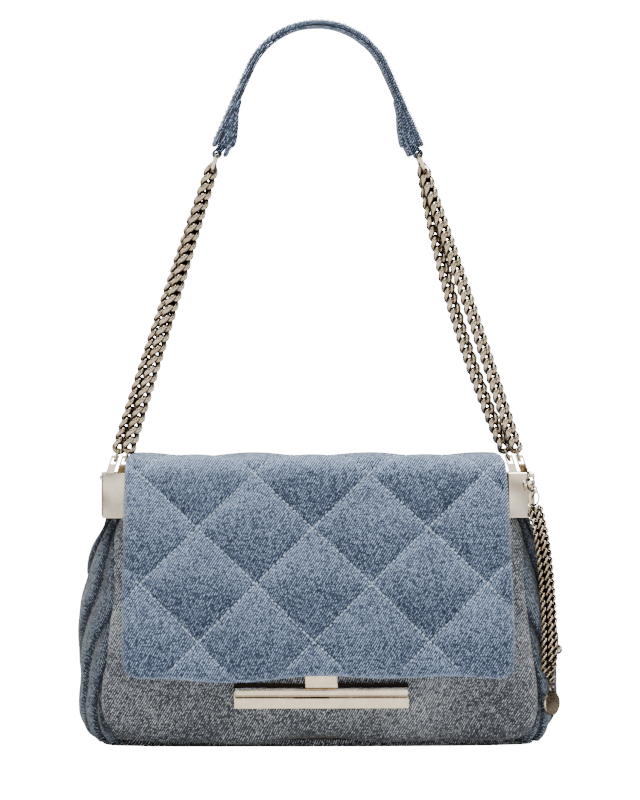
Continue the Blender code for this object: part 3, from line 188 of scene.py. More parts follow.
def washed_denim(name, deep, mid, pale):
    """Stone-washed cotton twill, about 12 oz: indigo warp over pale weft in fine diagonal
    ribs. It gives a soft mottled blue with white flecks, and no gloss but a faint fuzz."""
    tree, shader = new_material(name)
    place = add_node(tree, "TexCoord", "Object")
    flat = add_node(tree, "Attribute", "Vector", {"attribute_name": "cloth"})
    # wear together with painted light and shade, stored on the cloth's vertices
    wear_and_shade = add_node(tree, "Attribute", "Fac", {"attribute_name": "wear_and_shade"})
    # a diagonal wave repeats every 2 pi / 10 along x + y + z
    pace = 2 * math.pi / 10 / RIB_PITCH
    stretched = add_node(
        tree, "Mapping", "Vector", Vector=flat,
        Scale=(math.sin(RIB_RISE) * pace, -math.cos(RIB_RISE) * pace, 0.0),
    )
    ribs = add_node(
        tree, "TexWave", "Fac",
        {"wave_type": "BANDS", "bands_direction": "DIAGONAL", "wave_profile": "SIN"},
        Vector=stretched, Scale=1.0, Distortion=0.7, Detail=1.0, Detail_Scale=0.6,
    )
    # yarn slubs, coarser than the real 0.5 mm so that they show
    yarn = add_node(
        tree, "TexNoise", "Fac", Vector=place, Scale=1 / (1.3 * MM), Detail=2.0,
        Roughness=0.75,
    )
    # single weft threads that show through as pale specks
    specks = add_node(tree, "TexNoise", "Fac", Vector=place, Scale=1 / (0.95 * MM), Detail=0.0)
    # uneven washing
    cloud = add_node(
        tree, "TexNoise", "Fac", Vector=place, Scale=1 / (48 * MM), Detail=5.0, Roughness=0.6
    )
    weave = ((ribs, 1.0), (yarn, 1.0), (specks, 1.5), (cloud, 0.4))
    sum_up = {"operation": "MULTIPLY_ADD"}
    tone = 0.0
    for value, share in (*weave, (wear_and_shade, 0.30)):
        tone = add_node(tree, "Math", 0, sum_up, _0=value, _1=share, _2=tone)
    middle = 0.5 * sum(share for _, share in weave)
    shade = add_node(
        tree, "MapRange", "Result", Value=tone, From_Min=middle - 0.18, From_Max=middle + 0.60
    )
    relief = add_node(tree, "Math", 0, sum_up, _0=yarn, _1=0.7, _2=ribs)
    feed(
        tree, shader, Roughness=0.92, Sheen_Weight=0.25, Sheen_Roughness=0.6,
        Specular_IOR_Level=0.2,
        Base_Color=ramp(
            add_node(tree, "ValToRGB", Fac=shade), ((0.0, deep), (0.5, mid), (1.0, pale))
        ),
        Normal=add_node(
            tree, "Bump", "Normal", Height=relief, Strength=0.55, Distance=0.25 * MM
        ),
    )


def plain_cloth(name, colour, pale):
    """Plain woven cotton lining: a fine square weave, matt."""
    tree, shader = new_material(name)
    place = add_node(tree, "TexCoord", "Object")
    weave = add_node(tree, "TexNoise", "Fac", Vector=place, Scale=1 / (1.2 * MM), Detail=3.0)
    feed(
        tree, shader, Roughness=0.9, Specular_IOR_Level=0.2,
        Base_Color=ramp(add_node(tree, "ValToRGB", Fac=weave), ((0.3, colour), (0.7, pale))),
        Normal=add_node(
            tree, "Bump", "Normal", Height=weave, Strength=0.3, Distance=0.15 * MM
        ),
    )


def cotton_thread(name, colour, pale):
    """Spun cotton sewing thread: matt, with a slight twist."""
    tree, shader = new_material(name)
    place = add_node(tree, "TexCoord", "Object")
    twist = add_node(tree, "TexNoise", "Fac", Vector=place, Scale=1 / (0.6 * MM), Detail=1.0)
    shade = ramp(add_node(tree, "ValToRGB", Fac=twist), ((0.35, colour), (0.65, pale)))
    feed(tree, shader, Base_Color=shade, Roughness=0.8)


def polished_plating(name, deep, pale, roughness=0.13, painted_dark_above=None, shade_recesses=False):
    """Die-cast zinc, polished and plated pale gold under clear lacquer: mirror-like, with
    faint polishing haze that softens the edges of its reflections. Above the height
    painted_dark_above it is painted near black, as painted shade. Where recesses is set, it is
    painted darker where it is enclosed, as painted shade."""
    tree, shader = new_material(name)
    place = add_node(tree, "TexCoord", "Object")
    haze = add_node(
        tree, "TexNoise", "Fac", Vector=place, Scale=1 / (7 * MM), Detail=3.0, Roughness=0.7
    )
    plated = ramp(add_node(tree, "ValToRGB", Fac=haze), ((0.3, deep), (0.7, pale)))
    if shade_recesses:
        # painted shade: the plating is darkened to brown and near black in recesses, by how
        # enclosed each spot is
        open_sky = add_node(
            tree, "AmbientOcclusion", "AO", {"samples": 8}, Distance=2.5 * MM
        )
        stops = ((0.50, "#0c0906"), (0.68, "#7a6e60"), (0.88, "#ffffff"))
        recess_shade = ramp(add_node(tree, "ValToRGB", Fac=open_sky), stops, smooth=True)
        plated = add_node(
            tree, "Mix", 2, {"data_type": "RGBA", "blend_type": "MULTIPLY"},
            _0=1.0, _6=plated, _7=recess_shade,
        )
    # painted shade: near black above that height
    if painted_dark_above is not None:
        rise = add_node(tree, "SeparateXYZ", "Z", Vector=place)
        black = add_node(
            tree, "Math", 0, {"operation": "GREATER_THAN"}, _0=rise, _1=painted_dark_above
        )
        plated = add_node(
            tree, "Mix", 2, {"data_type": "RGBA"}, _0=black, _6=plated, _7=srgb("#15110e")
        )
    # die-cast faces are never quite flat
    warp = add_node(tree, "TexNoise", "Fac", Vector=place, Scale=1 / (16 * MM), Detail=0.0)
    feed(
        tree, shader, Base_Color=plated, Metallic=1.0,
        Roughness=add_node(
            tree, "MapRange", "Result", Value=haze, To_Min=roughness * 0.7,
            To_Max=roughness * 1.5,
        ),
        Normal=add_node(
            tree, "Bump", "Normal", Height=warp, Strength=1.0, Distance=0.5 * MM
        ),
    )


def dress(obj, name):
    """Gives a piece the named material alone."""
    obj.data.materials.clear()
    obj.data.materials.append(bpy.data.materials[name])


def fit(obj, name, slot, body=None, nodes=()):
    """Dresses a piece, sets it on the body that it rides on and hides the CAD nodes that it
    stands for. The slot is not used."""
    dress(obj, name)
    if body:
        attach(obj, body)
    if nodes:
        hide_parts(*nodes)


# Shapes

def through(table, at, column):
    """A smooth curve through a table's column at the given values of its first column."""
    xs, ys = table[:, 0], table[:, column]
    slopes = np.gradient(ys, xs)
    at = np.clip(at, xs[0], xs[-1])
    i = np.clip(np.searchsorted(xs, at) - 1, 0, len(xs) - 2)
    span = xs[i + 1] - xs[i]
    t = (at - xs[i]) / span
    return (
        (1 + 2 * t) * (1 - t) ** 2 * ys[i] + t * (1 - t) ** 2 * span * slopes[i]
        + t * t * (3 - 2 * t) * ys[i + 1] + t * t * (t - 1) * span * slopes[i + 1]
    )


def add_object(name, data):
    made = bpy.data.objects.new(name, data)
    bpy.context.scene.collection.objects.link(made)
    return made


def new_object(name, verts, faces):
    data = bpy.data.meshes.new(name)
    data.from_pydata([tuple(v) for v in verts], [], faces)
    data.update()
    shape = bmesh.new()
    shape.from_mesh(data)
    bmesh.ops.recalc_face_normals(shape, faces=shape.faces)
    shape.to_mesh(data)
    shape.free()
    data.shade_smooth()
    return add_object(name, data)


def grid_normals(points, outward):
    """Unit normals of a grid of points, on the side that outward points to."""
    across = np.gradient(points, axis=1)
    up = np.gradient(points, axis=0)
    normals = np.cross(across, up)
    normals /= np.maximum(np.linalg.norm(normals, axis=2, keepdims=True), 1e-12)
    middle = normals[normals.shape[0] // 2, normals.shape[1] // 2]
    return normals if np.dot(middle, outward) > 0 else -normals


def noise_grid(points, size, seed=0.0):
    """Smooth noise from -1 to 1 at grid points, with features of about the given size."""
    shift = Vector((seed, seed * 1.7, seed * 0.6))
    flat = [noise.noise(Vector(p) / size + shift) for p in points.reshape(-1, 3)]
    return np.array(flat).reshape(points.shape[:2])


def grid_lengths(points):
    """The distance from the first row, along each column of a grid of points or along a
    single line of them."""
    steps = np.linalg.norm(np.diff(points, axis=0), axis=-1)
    return np.concatenate((0 * steps[:1], np.cumsum(steps, axis=0)))


def edge_distance(points):
    """The distance of each grid point from the grid's nearest side."""
    across = grid_lengths(points.swapaxes(0, 1)).T
    up = grid_lengths(points)
    sides = np.minimum(across, across[:, -1:] - across)
    return np.minimum(sides, np.minimum(up, up[-1:, :] - up))


def lay_cloth(obj, places):
    """Stores each vertex's place on the flat cloth, across and up, in metres."""
    mark = obj.data.attributes.new("cloth", "FLOAT_VECTOR", "POINT")
    mark.data.foreach_set("vector", np.asarray(places, dtype=np.float32).reshape(-1))


def lay_from_front(obj):
    """Lays a piece's cloth as it is seen from the front, and up over what faces up."""
    lay_cloth(obj, [(v.co.x + v.co.y, v.co.z + 0.5 * v.co.y, 0.0) for v in obj.data.vertices])


def padded_sheet(name, points, outward, relief, depth, rim, wear_and_shade, across, up):
    """A closed padded cloth: its face is the grid raised by the relief, its back lies a
    depth behind, and both round into each other at the rim. Worn is how pale the face is,
    from washing and from painted light and shade; across and up are places on the flat
    cloth, in metres."""
    rows, cols = points.shape[:2]
    normals = grid_normals(points, outward)
    near = np.clip(edge_distance(points) / rim, 0, 1)
    round_off = 1 - np.sqrt(1 - (1 - near) ** 2)
    drop = (round_off * depth * 0.5)[..., None]
    face = points + normals * (relief * near)[..., None] - normals * drop
    back = points - normals * depth + normals * drop
    verts = np.concatenate((face.reshape(-1, 3), back.reshape(-1, 3)))
    count = rows * cols
    faces = []
    for r in range(rows - 1):
        for c in range(cols - 1):
            i = r * cols + c
            quad = (i, i + 1, i + cols + 1, i + cols)
            faces.append(quad)
            faces.append(tuple(count + k for k in reversed(quad)))
    loop = list(range(cols))
    loop += [r * cols + cols - 1 for r in range(1, rows)]
    loop += [(rows - 1) * cols + c for c in range(cols - 2, -1, -1)]
    loop += [r * cols for r in range(rows - 2, 0, -1)]
    for a, b in zip(loop, loop[1:] + loop[:1]):
        faces.append((a, b, count + b, count + a))
    made = new_object(name, verts, faces)
    # the face carries wear and painted light and shade; the back none
    values = np.zeros(2 * count)
    values[:count] = wear_and_shade.reshape(-1)
    mark = made.data.attributes.new("wear_and_shade", "FLOAT", "POINT")
    mark.data.foreach_set("value", values.astype(np.float32))
    across, up = np.broadcast_arrays(across, up)
    flat = np.stack((across, up, 0 * up), axis=2)
    lay_cloth(made, np.concatenate((flat, flat)))
    return made, face, normals


def arc_lengths(spots):
    """The distance of each place along a line of places from its first."""
    lengths = [0.0]
    for a, b in zip(spots, spots[1:]):
        lengths.append(lengths[-1] + (b - a).length)
    return lengths


def ring_faces(rings, count, sides):
    """Faces that join each ring of vertices to the next one of count."""
    faces = []
    for i in range(rings):
        j = (i + 1) % count
        for k in range(sides):
            m = (k + 1) % sides
            faces.append((i * sides + k, i * sides + m, j * sides + m, j * sides + k))
    return faces


def tube(points, radius, sides, closed=False, flatten=1.0, up=(0, 1, 0)):
    """Verts and faces of a round tube along points, flattened along up."""
    points = [Vector(p) for p in points]
    count = len(points)
    verts = []
    lift = Vector(up).normalized()
    for i, p in enumerate(points):
        before = points[i - 1] if i or closed else p
        after = points[(i + 1) % count] if i < count - 1 or closed else p
        ahead = (after - before).normalized()
        side = lift.cross(ahead)
        if side.length < 1e-6:
            side = Vector((1, 0, 0)).cross(ahead)
        side.normalize()
        above = ahead.cross(side)
        for k in range(sides):
            turn = 2 * math.pi * k / sides
            offset = side * math.cos(turn) + above * math.sin(turn)
            offset -= lift * offset.dot(lift) * (1 - flatten)
            verts.append(p + offset * radius)
    faces = ring_faces(count if closed else count - 1, count, sides)
    if not closed:
        faces.append(tuple(reversed(range(sides))))
        faces.append(tuple((count - 1) * sides + k for k in range(sides)))
    return verts, faces


def gather(name, parts):
    """One object from many (verts, faces) parts."""
    verts, faces = [], []
    for some_verts, some_faces in parts:
        start = len(verts)
        verts.extend(some_verts)
        faces.extend(tuple(start + k for k in f) for f in some_faces)
    return new_object(name, verts, faces)


def on_grid(face, normals, row, col, lift):
    """A point on the displaced grid at fractional row and column, lifted a little."""
    rows, cols = face.shape[:2]
    r0 = int(min(max(row, 0), rows - 1.001))
    c0 = int(min(max(col, 0), cols - 1.001))
    fr, fc = row - r0, col - c0
    spots = (
        face[r0, c0] * (1 - fr) * (1 - fc) + face[r0 + 1, c0] * fr * (1 - fc)
        + face[r0, c0 + 1] * (1 - fr) * fc + face[r0 + 1, c0 + 1] * fr * fc
    )
    return Vector(spots + normals[r0, c0] * lift)


def stitch_run(face, normals, path, length, gap, radius):
    """Dashes of thread along a path of (row, column) places on a grid."""
    lift = 0.1 * MM
    steps = arc_lengths([on_grid(face, normals, r, c, lift) for r, c in path])
    parts, at = [], gap
    rows, cols = face.shape[:2]
    while at + length < steps[-1]:
        points = []
        for k in range(4):
            s = at + length * k / 3
            place = [np.interp(s, steps, [p[i] for p in path]) for i in (0, 1)]
            rise = radius * (0.9 if k in (1, 2) else -0.5)
            points.append(on_grid(face, normals, place[0], place[1], lift + rise))
        r, c = int(min(place[0], rows - 1)), int(min(place[1], cols - 1))
        parts.append(tube(points, radius, 5, up=normals[r, c]))
        at += length + gap
    return parts


def diamonds(bag):
    """Where two quilting lines cross, across and up, and a diamond's width and height, in mm."""
    sizes = (bag.diamond_x, bag.diamond_z, bag.diamond_width, bag.diamond_height)
    return (size * 1000 for size in sizes)


def quilt_relief(x, s, points, bag, height, seed, painted_slope_shade):
    """Pillows between the quilting lines with puckers beside the stitches, and how pale
    they are: washed beside the stitches, with painted light where they face up and painted
    shade where they face down. The place x is in mm by (row, column), and s by row."""
    x0, s0, wide, tall = diamonds(bag)
    across, up = (x - x0) / wide, (s[:, None] - s0) / tall
    # shares of a diamond from the nearest line of each of the two families
    a, b = [np.abs(line - np.round(line)) for line in (across + up, across - up)]
    pillow = (np.sin(np.pi * a) * np.sin(np.pi * b)) ** 0.5
    nearest = np.minimum(a, b)
    pucker = noise_grid(points, PUCKER_SIZE, seed) * np.exp(-nearest / 0.10)
    slack = noise_grid(points, SLACK_SIZE, seed + 7)
    relief = height * (pillow + 0.16 * pucker + 0.14 * slack * pillow)
    # faded beside the stitches; painted light where a pillow faces up, painted shade where it
    # faces down
    climb = np.gradient(relief, grid_lengths(points).mean(axis=1), axis=0)
    wear_and_shade = 0.5 * np.exp(-nearest / 0.03) + 0.3 * pucker
    return relief, wear_and_shade - painted_slope_shade * np.clip(climb, -0.5, 0.5)


def quilt_paths(x, s, bag, inset, row_step=1.5):
    """Paths of (row, column) along each quilting line that crosses a grid, up to an inset
    in mm from its sides. The place x is in mm by (row, column), and s by row."""
    rows, cols = x.shape
    x0, s0, wide, tall = diamonds(bag)
    reach = int((abs(x).max() + abs(x0)) / wide + (abs(s).max() + abs(s0)) / tall) + 2
    at_rows = np.arange(0, rows - 1, row_step)
    heights, lefts, rights = (
        np.interp(at_rows, np.arange(rows), side) for side in (s, x[:, 0], x[:, -1])
    )
    paths = []
    for sign in (1, -1):
        for k in range(-reach, reach + 1):
            path = []
            for r, here, left, right in zip(at_rows, heights, lefts, rights):
                if here < s[0] + inset or here > s[-1] - inset:
                    continue
                at = x0 + wide * (k - sign * (here - s0) / tall)
                if left + inset < at < right - inset:
                    path.append((r, (at - left) / (right - left) * (cols - 1)))
                elif path:
                    break
            if len(path) > 3:
                paths.append(path)
    return paths


# Bag body

def section(heights):
    """The bag's half depth, half width and seam's share of it at heights, in mm."""
    return (through(BODY_TABLE, heights, column) for column in (1, 2, 3))


def wall_points(side, spacing):
    """A front or rear wall's grid, its x in mm and its height along the wall in mm."""
    heights = np.arange(BODY_TABLE[0, 0], BODY_TABLE[-1, 0], spacing)
    depth, width, seam = section(heights)
    cols = int(WALL_SPAN / spacing)
    u = np.linspace(-1, 1, cols)
    x = u[None, :] * (width * seam)[:, None]
    ratio = np.abs(x / width[:, None]) ** BODY_POWER
    y = side * depth[:, None] * (1 - ratio) ** (1 / BODY_POWER)
    z = np.repeat(heights[:, None], cols, axis=1)
    points = np.stack((x, y, z), axis=2) * MM
    along = grid_lengths(points[:, cols // 2]) * 1000 + heights[0]
    return points, x, along


def make_wall(name, side, cad, seed):
    """A quilted wall in place of its CAD panel, and its stitches."""
    bag = bag_settings()
    points, x, along = wall_points(side, bag.grain)
    relief, wear_and_shade = quilt_relief(
        x, along, points, bag, bag.panel_puff, seed, 0.6 * bag.painted_slope_shade
    )
    # the unfilled cloth slouches, most of all at its foot, which is painted darker as painted
    # shade
    slouch = noise_grid(points * np.array((1, 1, 1.4)), SLOUCH_SIZE, seed + 3)
    foot = np.clip(1 - along / FOOT_HEIGHT, 0, 1)[:, None]
    wear_and_shade = wear_and_shade + 0.8 * slouch - 1.0 * foot ** 2
    normals = grid_normals(points, (0, side, 0))
    points = points + normals * ((slouch * 1.6 * MM) * (1 + 1.4 * foot) - 1.4 * MM)[..., None]
    points[..., 2] += foot ** 2 * (0.25 + 0.25 * np.sin(x / 15 + seed + 2 * slouch)) * MM
    wall, face, normals = padded_sheet(
        name, points, (0, side, 0), relief, WALL_PADDING, WALL_RIM, wear_and_shade, x * MM,
        along[:, None] * MM,
    )
    fit(wall, "grey_washed_denim", "panel_denim", "bag", [cad])
    parts = []
    for path in quilt_paths(x, along, bag, 5):
        parts += stitch_run(face, normals, path, *WALL_STITCH)
    thread = gather(name + "_stitches", parts)
    fit(thread, "grey_cotton_thread", "panel_denim", "bag")


class BAG_OT_walls(bpy.types.Operator):
    """Quilted front and rear walls with their stitches"""
    bl_idname = "bag.walls"
    bl_label = "Walls"

    def execute(self, context):
        make_wall("quilted_front_wall", -1, "front_panel", 3.0)
        make_wall("quilted_rear_wall", 1, "rear_panel", 11.0)
        return {"FINISHED"}


def gusset_grid(side, spacing):
    """A side's grid between the walls' seams, its heights and its places across, -1 to 1."""
    heights = np.arange(BODY_TABLE[0, 0], GUSSET_TOP, spacing)
    depth, width, seam = section(heights)
    seam = np.arccos(seam ** (BODY_POWER / 2))
    cols = int(GUSSET_SPAN / spacing)
    t = np.linspace(-1, 1, cols)
    # its edges reach a little under the walls
    under = np.clip(1 + 7.0 / depth, 1.0, 1.35)
    angle = t[None, :] * (seam * under)[:, None]
    x = width[:, None] * np.abs(np.cos(angle)) ** (2 / BODY_POWER)
    y = depth[:, None] * np.sign(t) * np.abs(np.sin(angle)) ** (2 / BODY_POWER)
    z = np.repeat(heights[:, None], cols, axis=1)
    return np.stack((side * x, y, z), axis=2) * MM, heights, t


class BAG_OT_gussets(bpy.types.Operator):
    """Soft sides that droop in folds under the caps"""
    bl_idname = "bag.gussets"
    bl_label = "Gussets"

    def execute(self, context):
        bag = bag_settings()
        for label, side in (("left", -1), ("right", 1)):
            points, heights, t = gusset_grid(side, bag.grain)
            rise = (heights / heights[-1])[:, None]
            out = np.abs(t)[None, :]
            # folds hang like swags from both seams; each is a leaf with a sharp upper edge
            swag = bag.fold_count * (rise - 0.72 * out ** 1.15)
            swag = swag + 0.35 * noise_grid(points, 40 * MM, 5 + side)
            part = swag - np.floor(swag)
            leaf = np.sin(np.pi * part ** 0.55) ** 0.55
            inner = np.minimum(1, 2.4 * (1 - out)) ** 0.7
            relief = bag.fold_depth * (leaf - 0.8) * inner * (0.45 + 0.55 * out)
            relief = relief + 1.2 * MM * noise_grid(points, 14 * MM, 9) * inner
            tuck = np.clip((out - 0.86) / 0.14, 0, 1)
            relief = relief - 0.4 * MM - 4.6 * MM * tuck
            # painted light and shade: painted highlights on the leaves' edges, painted shade
            # between them, in the tucks and under the cap, and some random tone
            wear_and_shade = 2.4 * (leaf - 0.8) + 0.9 * np.exp(-((part - 0.16) / 0.05) ** 2)
            wear_and_shade = wear_and_shade + 0.5 * noise_grid(points, 9 * MM, 2) - 2.0 * tuck
            wear_and_shade = wear_and_shade - 1.6 * np.clip((rise - 0.86) / 0.14, 0, 1)
            made = padded_sheet(
                "gusset_cloth_" + label, points, (side, 0, 0), relief, GUSSET_PADDING,
                GUSSET_RIM, wear_and_shade, 50 * MM * t[None, :], grid_lengths(points),
            )[0]
            fit(made, "dark_washed_denim", "gusset_denim", "bag", ["gusset_" + label])
        return {"FINISHED"}


def refined(name, node, cuts, rough, size):
    """A finer copy of a CAD solid with slightly uneven cloth surface."""
    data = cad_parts[node].data.copy()
    data.name = name
    made = add_object(name, data)
    shape = bmesh.new()
    shape.from_mesh(data)
    bmesh.ops.remove_doubles(shape, verts=shape.verts, dist=0.02 * MM)
    bmesh.ops.subdivide_edges(shape, edges=shape.edges, cuts=cuts, use_grid_fill=True)
    shape.normal_update()
    moves = [v.normal * rough * noise.noise(v.co / size) for v in shape.verts]
    for vert, move in zip(shape.verts, moves):
        vert.co += move
    shape.to_mesh(data)
    shape.free()
    data.shade_smooth()
    data.set_sharp_from_angle(angle=math.radians(38))
    lay_from_front(made)
    return made


class BAG_OT_inside(bpy.types.Operator):
    """Lining, slip pocket, base and its board"""
    bl_idname = "bag.inside"
    bl_label = "Lining and base"

    def execute(self, context):
        plan = (
            ("lining_cloth_tub", "lining", "woven_cotton_lining", "lining_cloth", 1),
            ("slip_pocket", "inner_pocket", "woven_cotton_lining", "lining_cloth", 1),
            ("base_stiffener", "base_board", "woven_cotton_lining", "lining_cloth", 1),
            ("base_cloth", "base_panel", "grey_washed_denim", "panel_denim", 2),
        )
        for name, node, finish, slot, cuts in plan:
            made = refined(name, node, cuts, 0.25 * MM, 18 * MM)
            fit(made, finish, slot, "bag", [node])
        return {"FINISHED"}


# Flap

def flap_points(bag):
    """The flap's grid from hem to tail, its x in mm and its arc length in mm."""
    at = grid_lengths(FLAP_TABLE[:, :2])
    table = np.concatenate((at[:, None], FLAP_TABLE), axis=1)
    places = np.arange(0, at[-1], bag.grain)
    y, z, half = (through(table, places, column) for column in (1, 2, 3))
    u = np.linspace(-1, 1, int(FLAP_SPAN / bag.grain))
    x = u[None, :] * half[:, None]
    # the hanging part curls in at its sides
    hang = np.clip((150 - z) / 60, 0, 1) * (y < 0)
    curl = 2.2 * u[None, :] ** 4 * hang[:, None]
    x = x + bag.flap_shift * 1000
    points = np.stack((x, y[:, None] + curl, z[:, None] + 0 * x), axis=2) * MM
    return points, x, places


class BAG_OT_flap(bpy.types.Operator):
    """Quilted flap from its hem over the top to its tail, with stitches and facing"""
    bl_idname = "bag.flap"
    bl_label = "Flap"

    def execute(self, context):
        bag = bag_settings()
        points, x, along = flap_points(bag)
        s = along + FLAP_TABLE[0, 1]
        relief, wear_and_shade = quilt_relief(x, s, points, bag, bag.flap_puff, 21.0, bag.painted_slope_shade)
        # flatter towards the hem and the sides
        hem = np.clip(along / 7, 0, 1)[:, None]
        sides = np.clip(np.minimum(x - x[:, :1], x[:, -1:] - x) / 4, 0, 1)
        relief = relief * (0.35 + 0.65 * np.minimum(hem, sides) ** 0.6)
        # the pull over the top flattens the pillows; the top is painted paler, as painted light
        # from above, and the hem's edge is paler
        top = np.clip((points[..., 2] / MM - 149) / 9, 0, 1)
        relief = relief * (1 - 0.5 * top)
        wear_and_shade = wear_and_shade + 2.0 * np.exp(-along / 0.7)[:, None] + 1.2 * top
        wave = 1.3 * MM * np.sin(x / 31 + 0.6) + 1.0 * MM * np.sin(x / 13 + 2.0)
        points[..., 2] += wave * np.clip(1 - along / 26, 0, 1)[:, None]
        flap, face, normals = padded_sheet(
            "quilted_flap", points, (0, -0.6, 0.8), relief, FLAP_PADDING, FLAP_RIM, wear_and_shade,
            x * MM, along[:, None] * MM,
        )
        fit(flap, "blue_washed_denim", "flap_denim", nodes=["flap_front", "flap_top"])
        parts = []
        for path in quilt_paths(x, s, bag, 4):
            parts += stitch_run(face, normals, path, *FLAP_STITCH)
        thread = gather("flap_stitches", parts)
        fit(thread, "pale_cotton_thread", "flap_denim")
        for piece in (flap, thread):
            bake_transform(piece)
        facing = refined("flap_facing_cloth", "flap_facing", 2, 0.2 * MM, 16 * MM)
        fit(facing, "grey_washed_denim", "panel_denim", "flap", ["flap_facing"])
        return {"FINISHED"}


# Strap

def squared(value, power):
    """A sine or cosine bent towards a rounded square's."""
    return math.copysign(abs(value) ** power, value)


def padded_strip(path, depths, share=1.0, sides=20):
    """Verts and faces of a strip as wide as a share of the pad: each place on the path is
    the middle of a rounded section of its depth, in the plane of Y and the path's normal."""
    verts = []
    count = len(path)
    for i, place in enumerate(path):
        ahead = (path[min(i + 1, count - 1)] - path[max(i - 1, 0)]).normalized()
        out = ahead.cross(Vector((0, 1, 0)))
        for k in range(sides):
            turn = 2 * math.pi * k / sides
            across = squared(math.cos(turn), 0.3) * (PAD_HALF_WIDTH * share)
            lift = squared(math.sin(turn), 0.7) * depths[i] / 2
            verts.append(place + Vector((0, across, 0)) + out * lift)
    faces = ring_faces(count - 1, count, sides)
    faces.append(tuple(range(sides)))
    faces.append(tuple((count - 1) * sides + k for k in reversed(range(sides))))
    return verts, faces


def pad_crown(bag):
    """The middle of the round top of the pad."""
    return Vector((0, 0, bag.pad_top - bag.pad_radius))


def pad_leg(bag):
    """The length of a straight leg of the pad, from the round top to its folded end."""
    drop = bag.pad_top - bag.pad_radius * (1 - math.sin(bag.pad_splay)) - PAD_END
    return drop / math.cos(bag.pad_splay)


def pad_spot(bag, side, far, deep):
    """A place on a leg of the pad: how far down the leg and how deep in from its outside."""
    c, d = math.cos(bag.pad_splay), math.sin(bag.pad_splay)
    spot = pad_crown(bag) + Vector((c, 0, d)) * (bag.pad_radius - deep)
    spot += Vector((d, 0, -c)) * far
    return Vector((side * spot.x, 0, spot.z))


def pad_arch(bag, deep, foot):
    """Places over the pad at a depth, from a foot above one leg's end to the other's."""
    crown, leg, reach = pad_crown(bag), pad_leg(bag), bag.pad_radius - deep
    spots = [pad_spot(bag, -1, far, deep) for far in spaced(leg - foot, 0, LEG_STEPS)]
    for i in range(1, TOP_STEPS):
        turn = math.pi - bag.pad_splay + (2 * bag.pad_splay - math.pi) * i / TOP_STEPS
        spots.append(crown + Vector((math.cos(turn), 0, math.sin(turn))) * reach)
    return spots + [pad_spot(bag, 1, far, deep) for far in spaced(0, leg - foot, LEG_STEPS)]


def rounded(path, depth):
    """The depths of a layer along its path, rounded off over its last 1.6 mm."""
    at = arc_lengths(path)
    depths = []
    for s in at:
        near = min(s, at[-1] - s) / (1.6 * MM)
        depths.append(depth * math.sqrt(max(1 - (1 - min(near, 1.0)) ** 2, 0.02)))
    return depths


def spaced(first, last, steps):
    """Places from first to last, closer together at both ends."""
    turns = [math.pi * i / steps for i in range(steps + 1)]
    return [first + (last - first) * (1 - math.cos(t)) / 2 for t in turns]


def pad_layers(bag):
    """The pad's outer and inner layer, and three at each end, where it is folded in."""
    outer, inner = bag.pad_outer, bag.pad_depth - bag.pad_outer
    layers = []
    for deep, foot, depth in (
        (outer / 2, 0.3 * MM, outer),
        (outer + inner / 2, 0.6 * bag.fold_length, inner),
    ):
        line = pad_arch(bag, deep, foot)
        layers.append(padded_strip(line, rounded(line, depth)))
    leg = pad_leg(bag)
    slot = bag.tab_depth + 0.3 * MM
    start, ease = leg - bag.fold_length - 12 * MM, 24 * MM

    def parting(far):
        t = min(max((far - start) / ease, 0), 1)
        return t, slot * t * t * (3 - 2 * t)

    for side in (-1, 1):
        # the end folded in under the pad, which parts from it over the tab's end
        line, filling, between = [], [], []
        for far in spaced(start, leg + 2.4 * MM, LEG_STEPS):
            gap = parting(far)[1]
            line.append(pad_spot(bag, side, far, outer + gap + 1.4 * MM))
            if far < leg - 2.5 * MM:
                filling.append(pad_spot(bag, side, far, outer + gap / 2))
                between.append(gap + 1.0 * MM)
        layers.append(padded_strip(line, rounded(line, 2.8 * MM), 0.97))
        layers.append(padded_strip(filling, between, 0.96))
        # its cut edge, folded back once more
        line = []
        for far in spaced(start + 8 * MM, leg - 4.0 * MM, EDGE_STEPS):
            t, gap = parting(far)
            line.append(pad_spot(bag, side, far, outer + gap + (1.2 + 2.0 * t) * MM))
        layers.append(padded_strip(line, rounded(line, 2.0 * MM), 0.98))
    return layers


def pad_stitches(bag):
    """A row of stitches along each edge of the pad's outside."""
    crown = pad_crown(bag)
    line = pad_arch(bag, -0.12 * MM, 2 * MM)
    steps = arc_lengths(line)
    length, gap, radius = PAD_STITCH
    parts = []
    for edge in (-1, 1):
        at = 2 * MM
        while at < steps[-1] - 4 * MM:
            points = []
            for k, lift in enumerate((-0.25, 0.2, 0.2, -0.25)):
                s = at + length * k / 3
                spot = Vector([np.interp(s, steps, [p[axis] for p in line]) for axis in range(3)])
                spot.y = edge * (PAD_HALF_WIDTH - 2.0 * MM)
                points.append(spot + (spot - crown).normalized() * lift * MM)
            parts.append(tube(points, radius, 5))
            at += length + gap
    return parts


class BAG_OT_pad(bpy.types.Operator):
    """Shoulder pad of layered blue denim, its tabs, and stitches along its edges"""
    bl_idname = "bag.pad"
    bl_label = "Shoulder pad"

    def execute(self, context):
        bag = bag_settings()
        pad = gather("shoulder_pad_cloth", pad_layers(bag))
        for vert in pad.data.vertices:
            rough = noise.noise(vert.co / (7 * MM)) * 0.22 * MM
            vert.co += vert.normal * rough
        lay_from_front(pad)
        fit(pad, "blue_washed_denim", "flap_denim", "strap", ["shoulder_pad"])
        thread = gather("pad_stitches", pad_stitches(bag))
        fit(thread, "pale_cotton_thread", "flap_denim", "strap")
        for label in ("left", "right"):
            node = "strap_tab_" + label
            made = refined("strap_tab_cloth_" + label, node, 3, 0.25 * MM, 8 * MM)
            fit(made, "blue_washed_denim", "flap_denim", "strap", [node])
        return {"FINISHED"}


# Chains

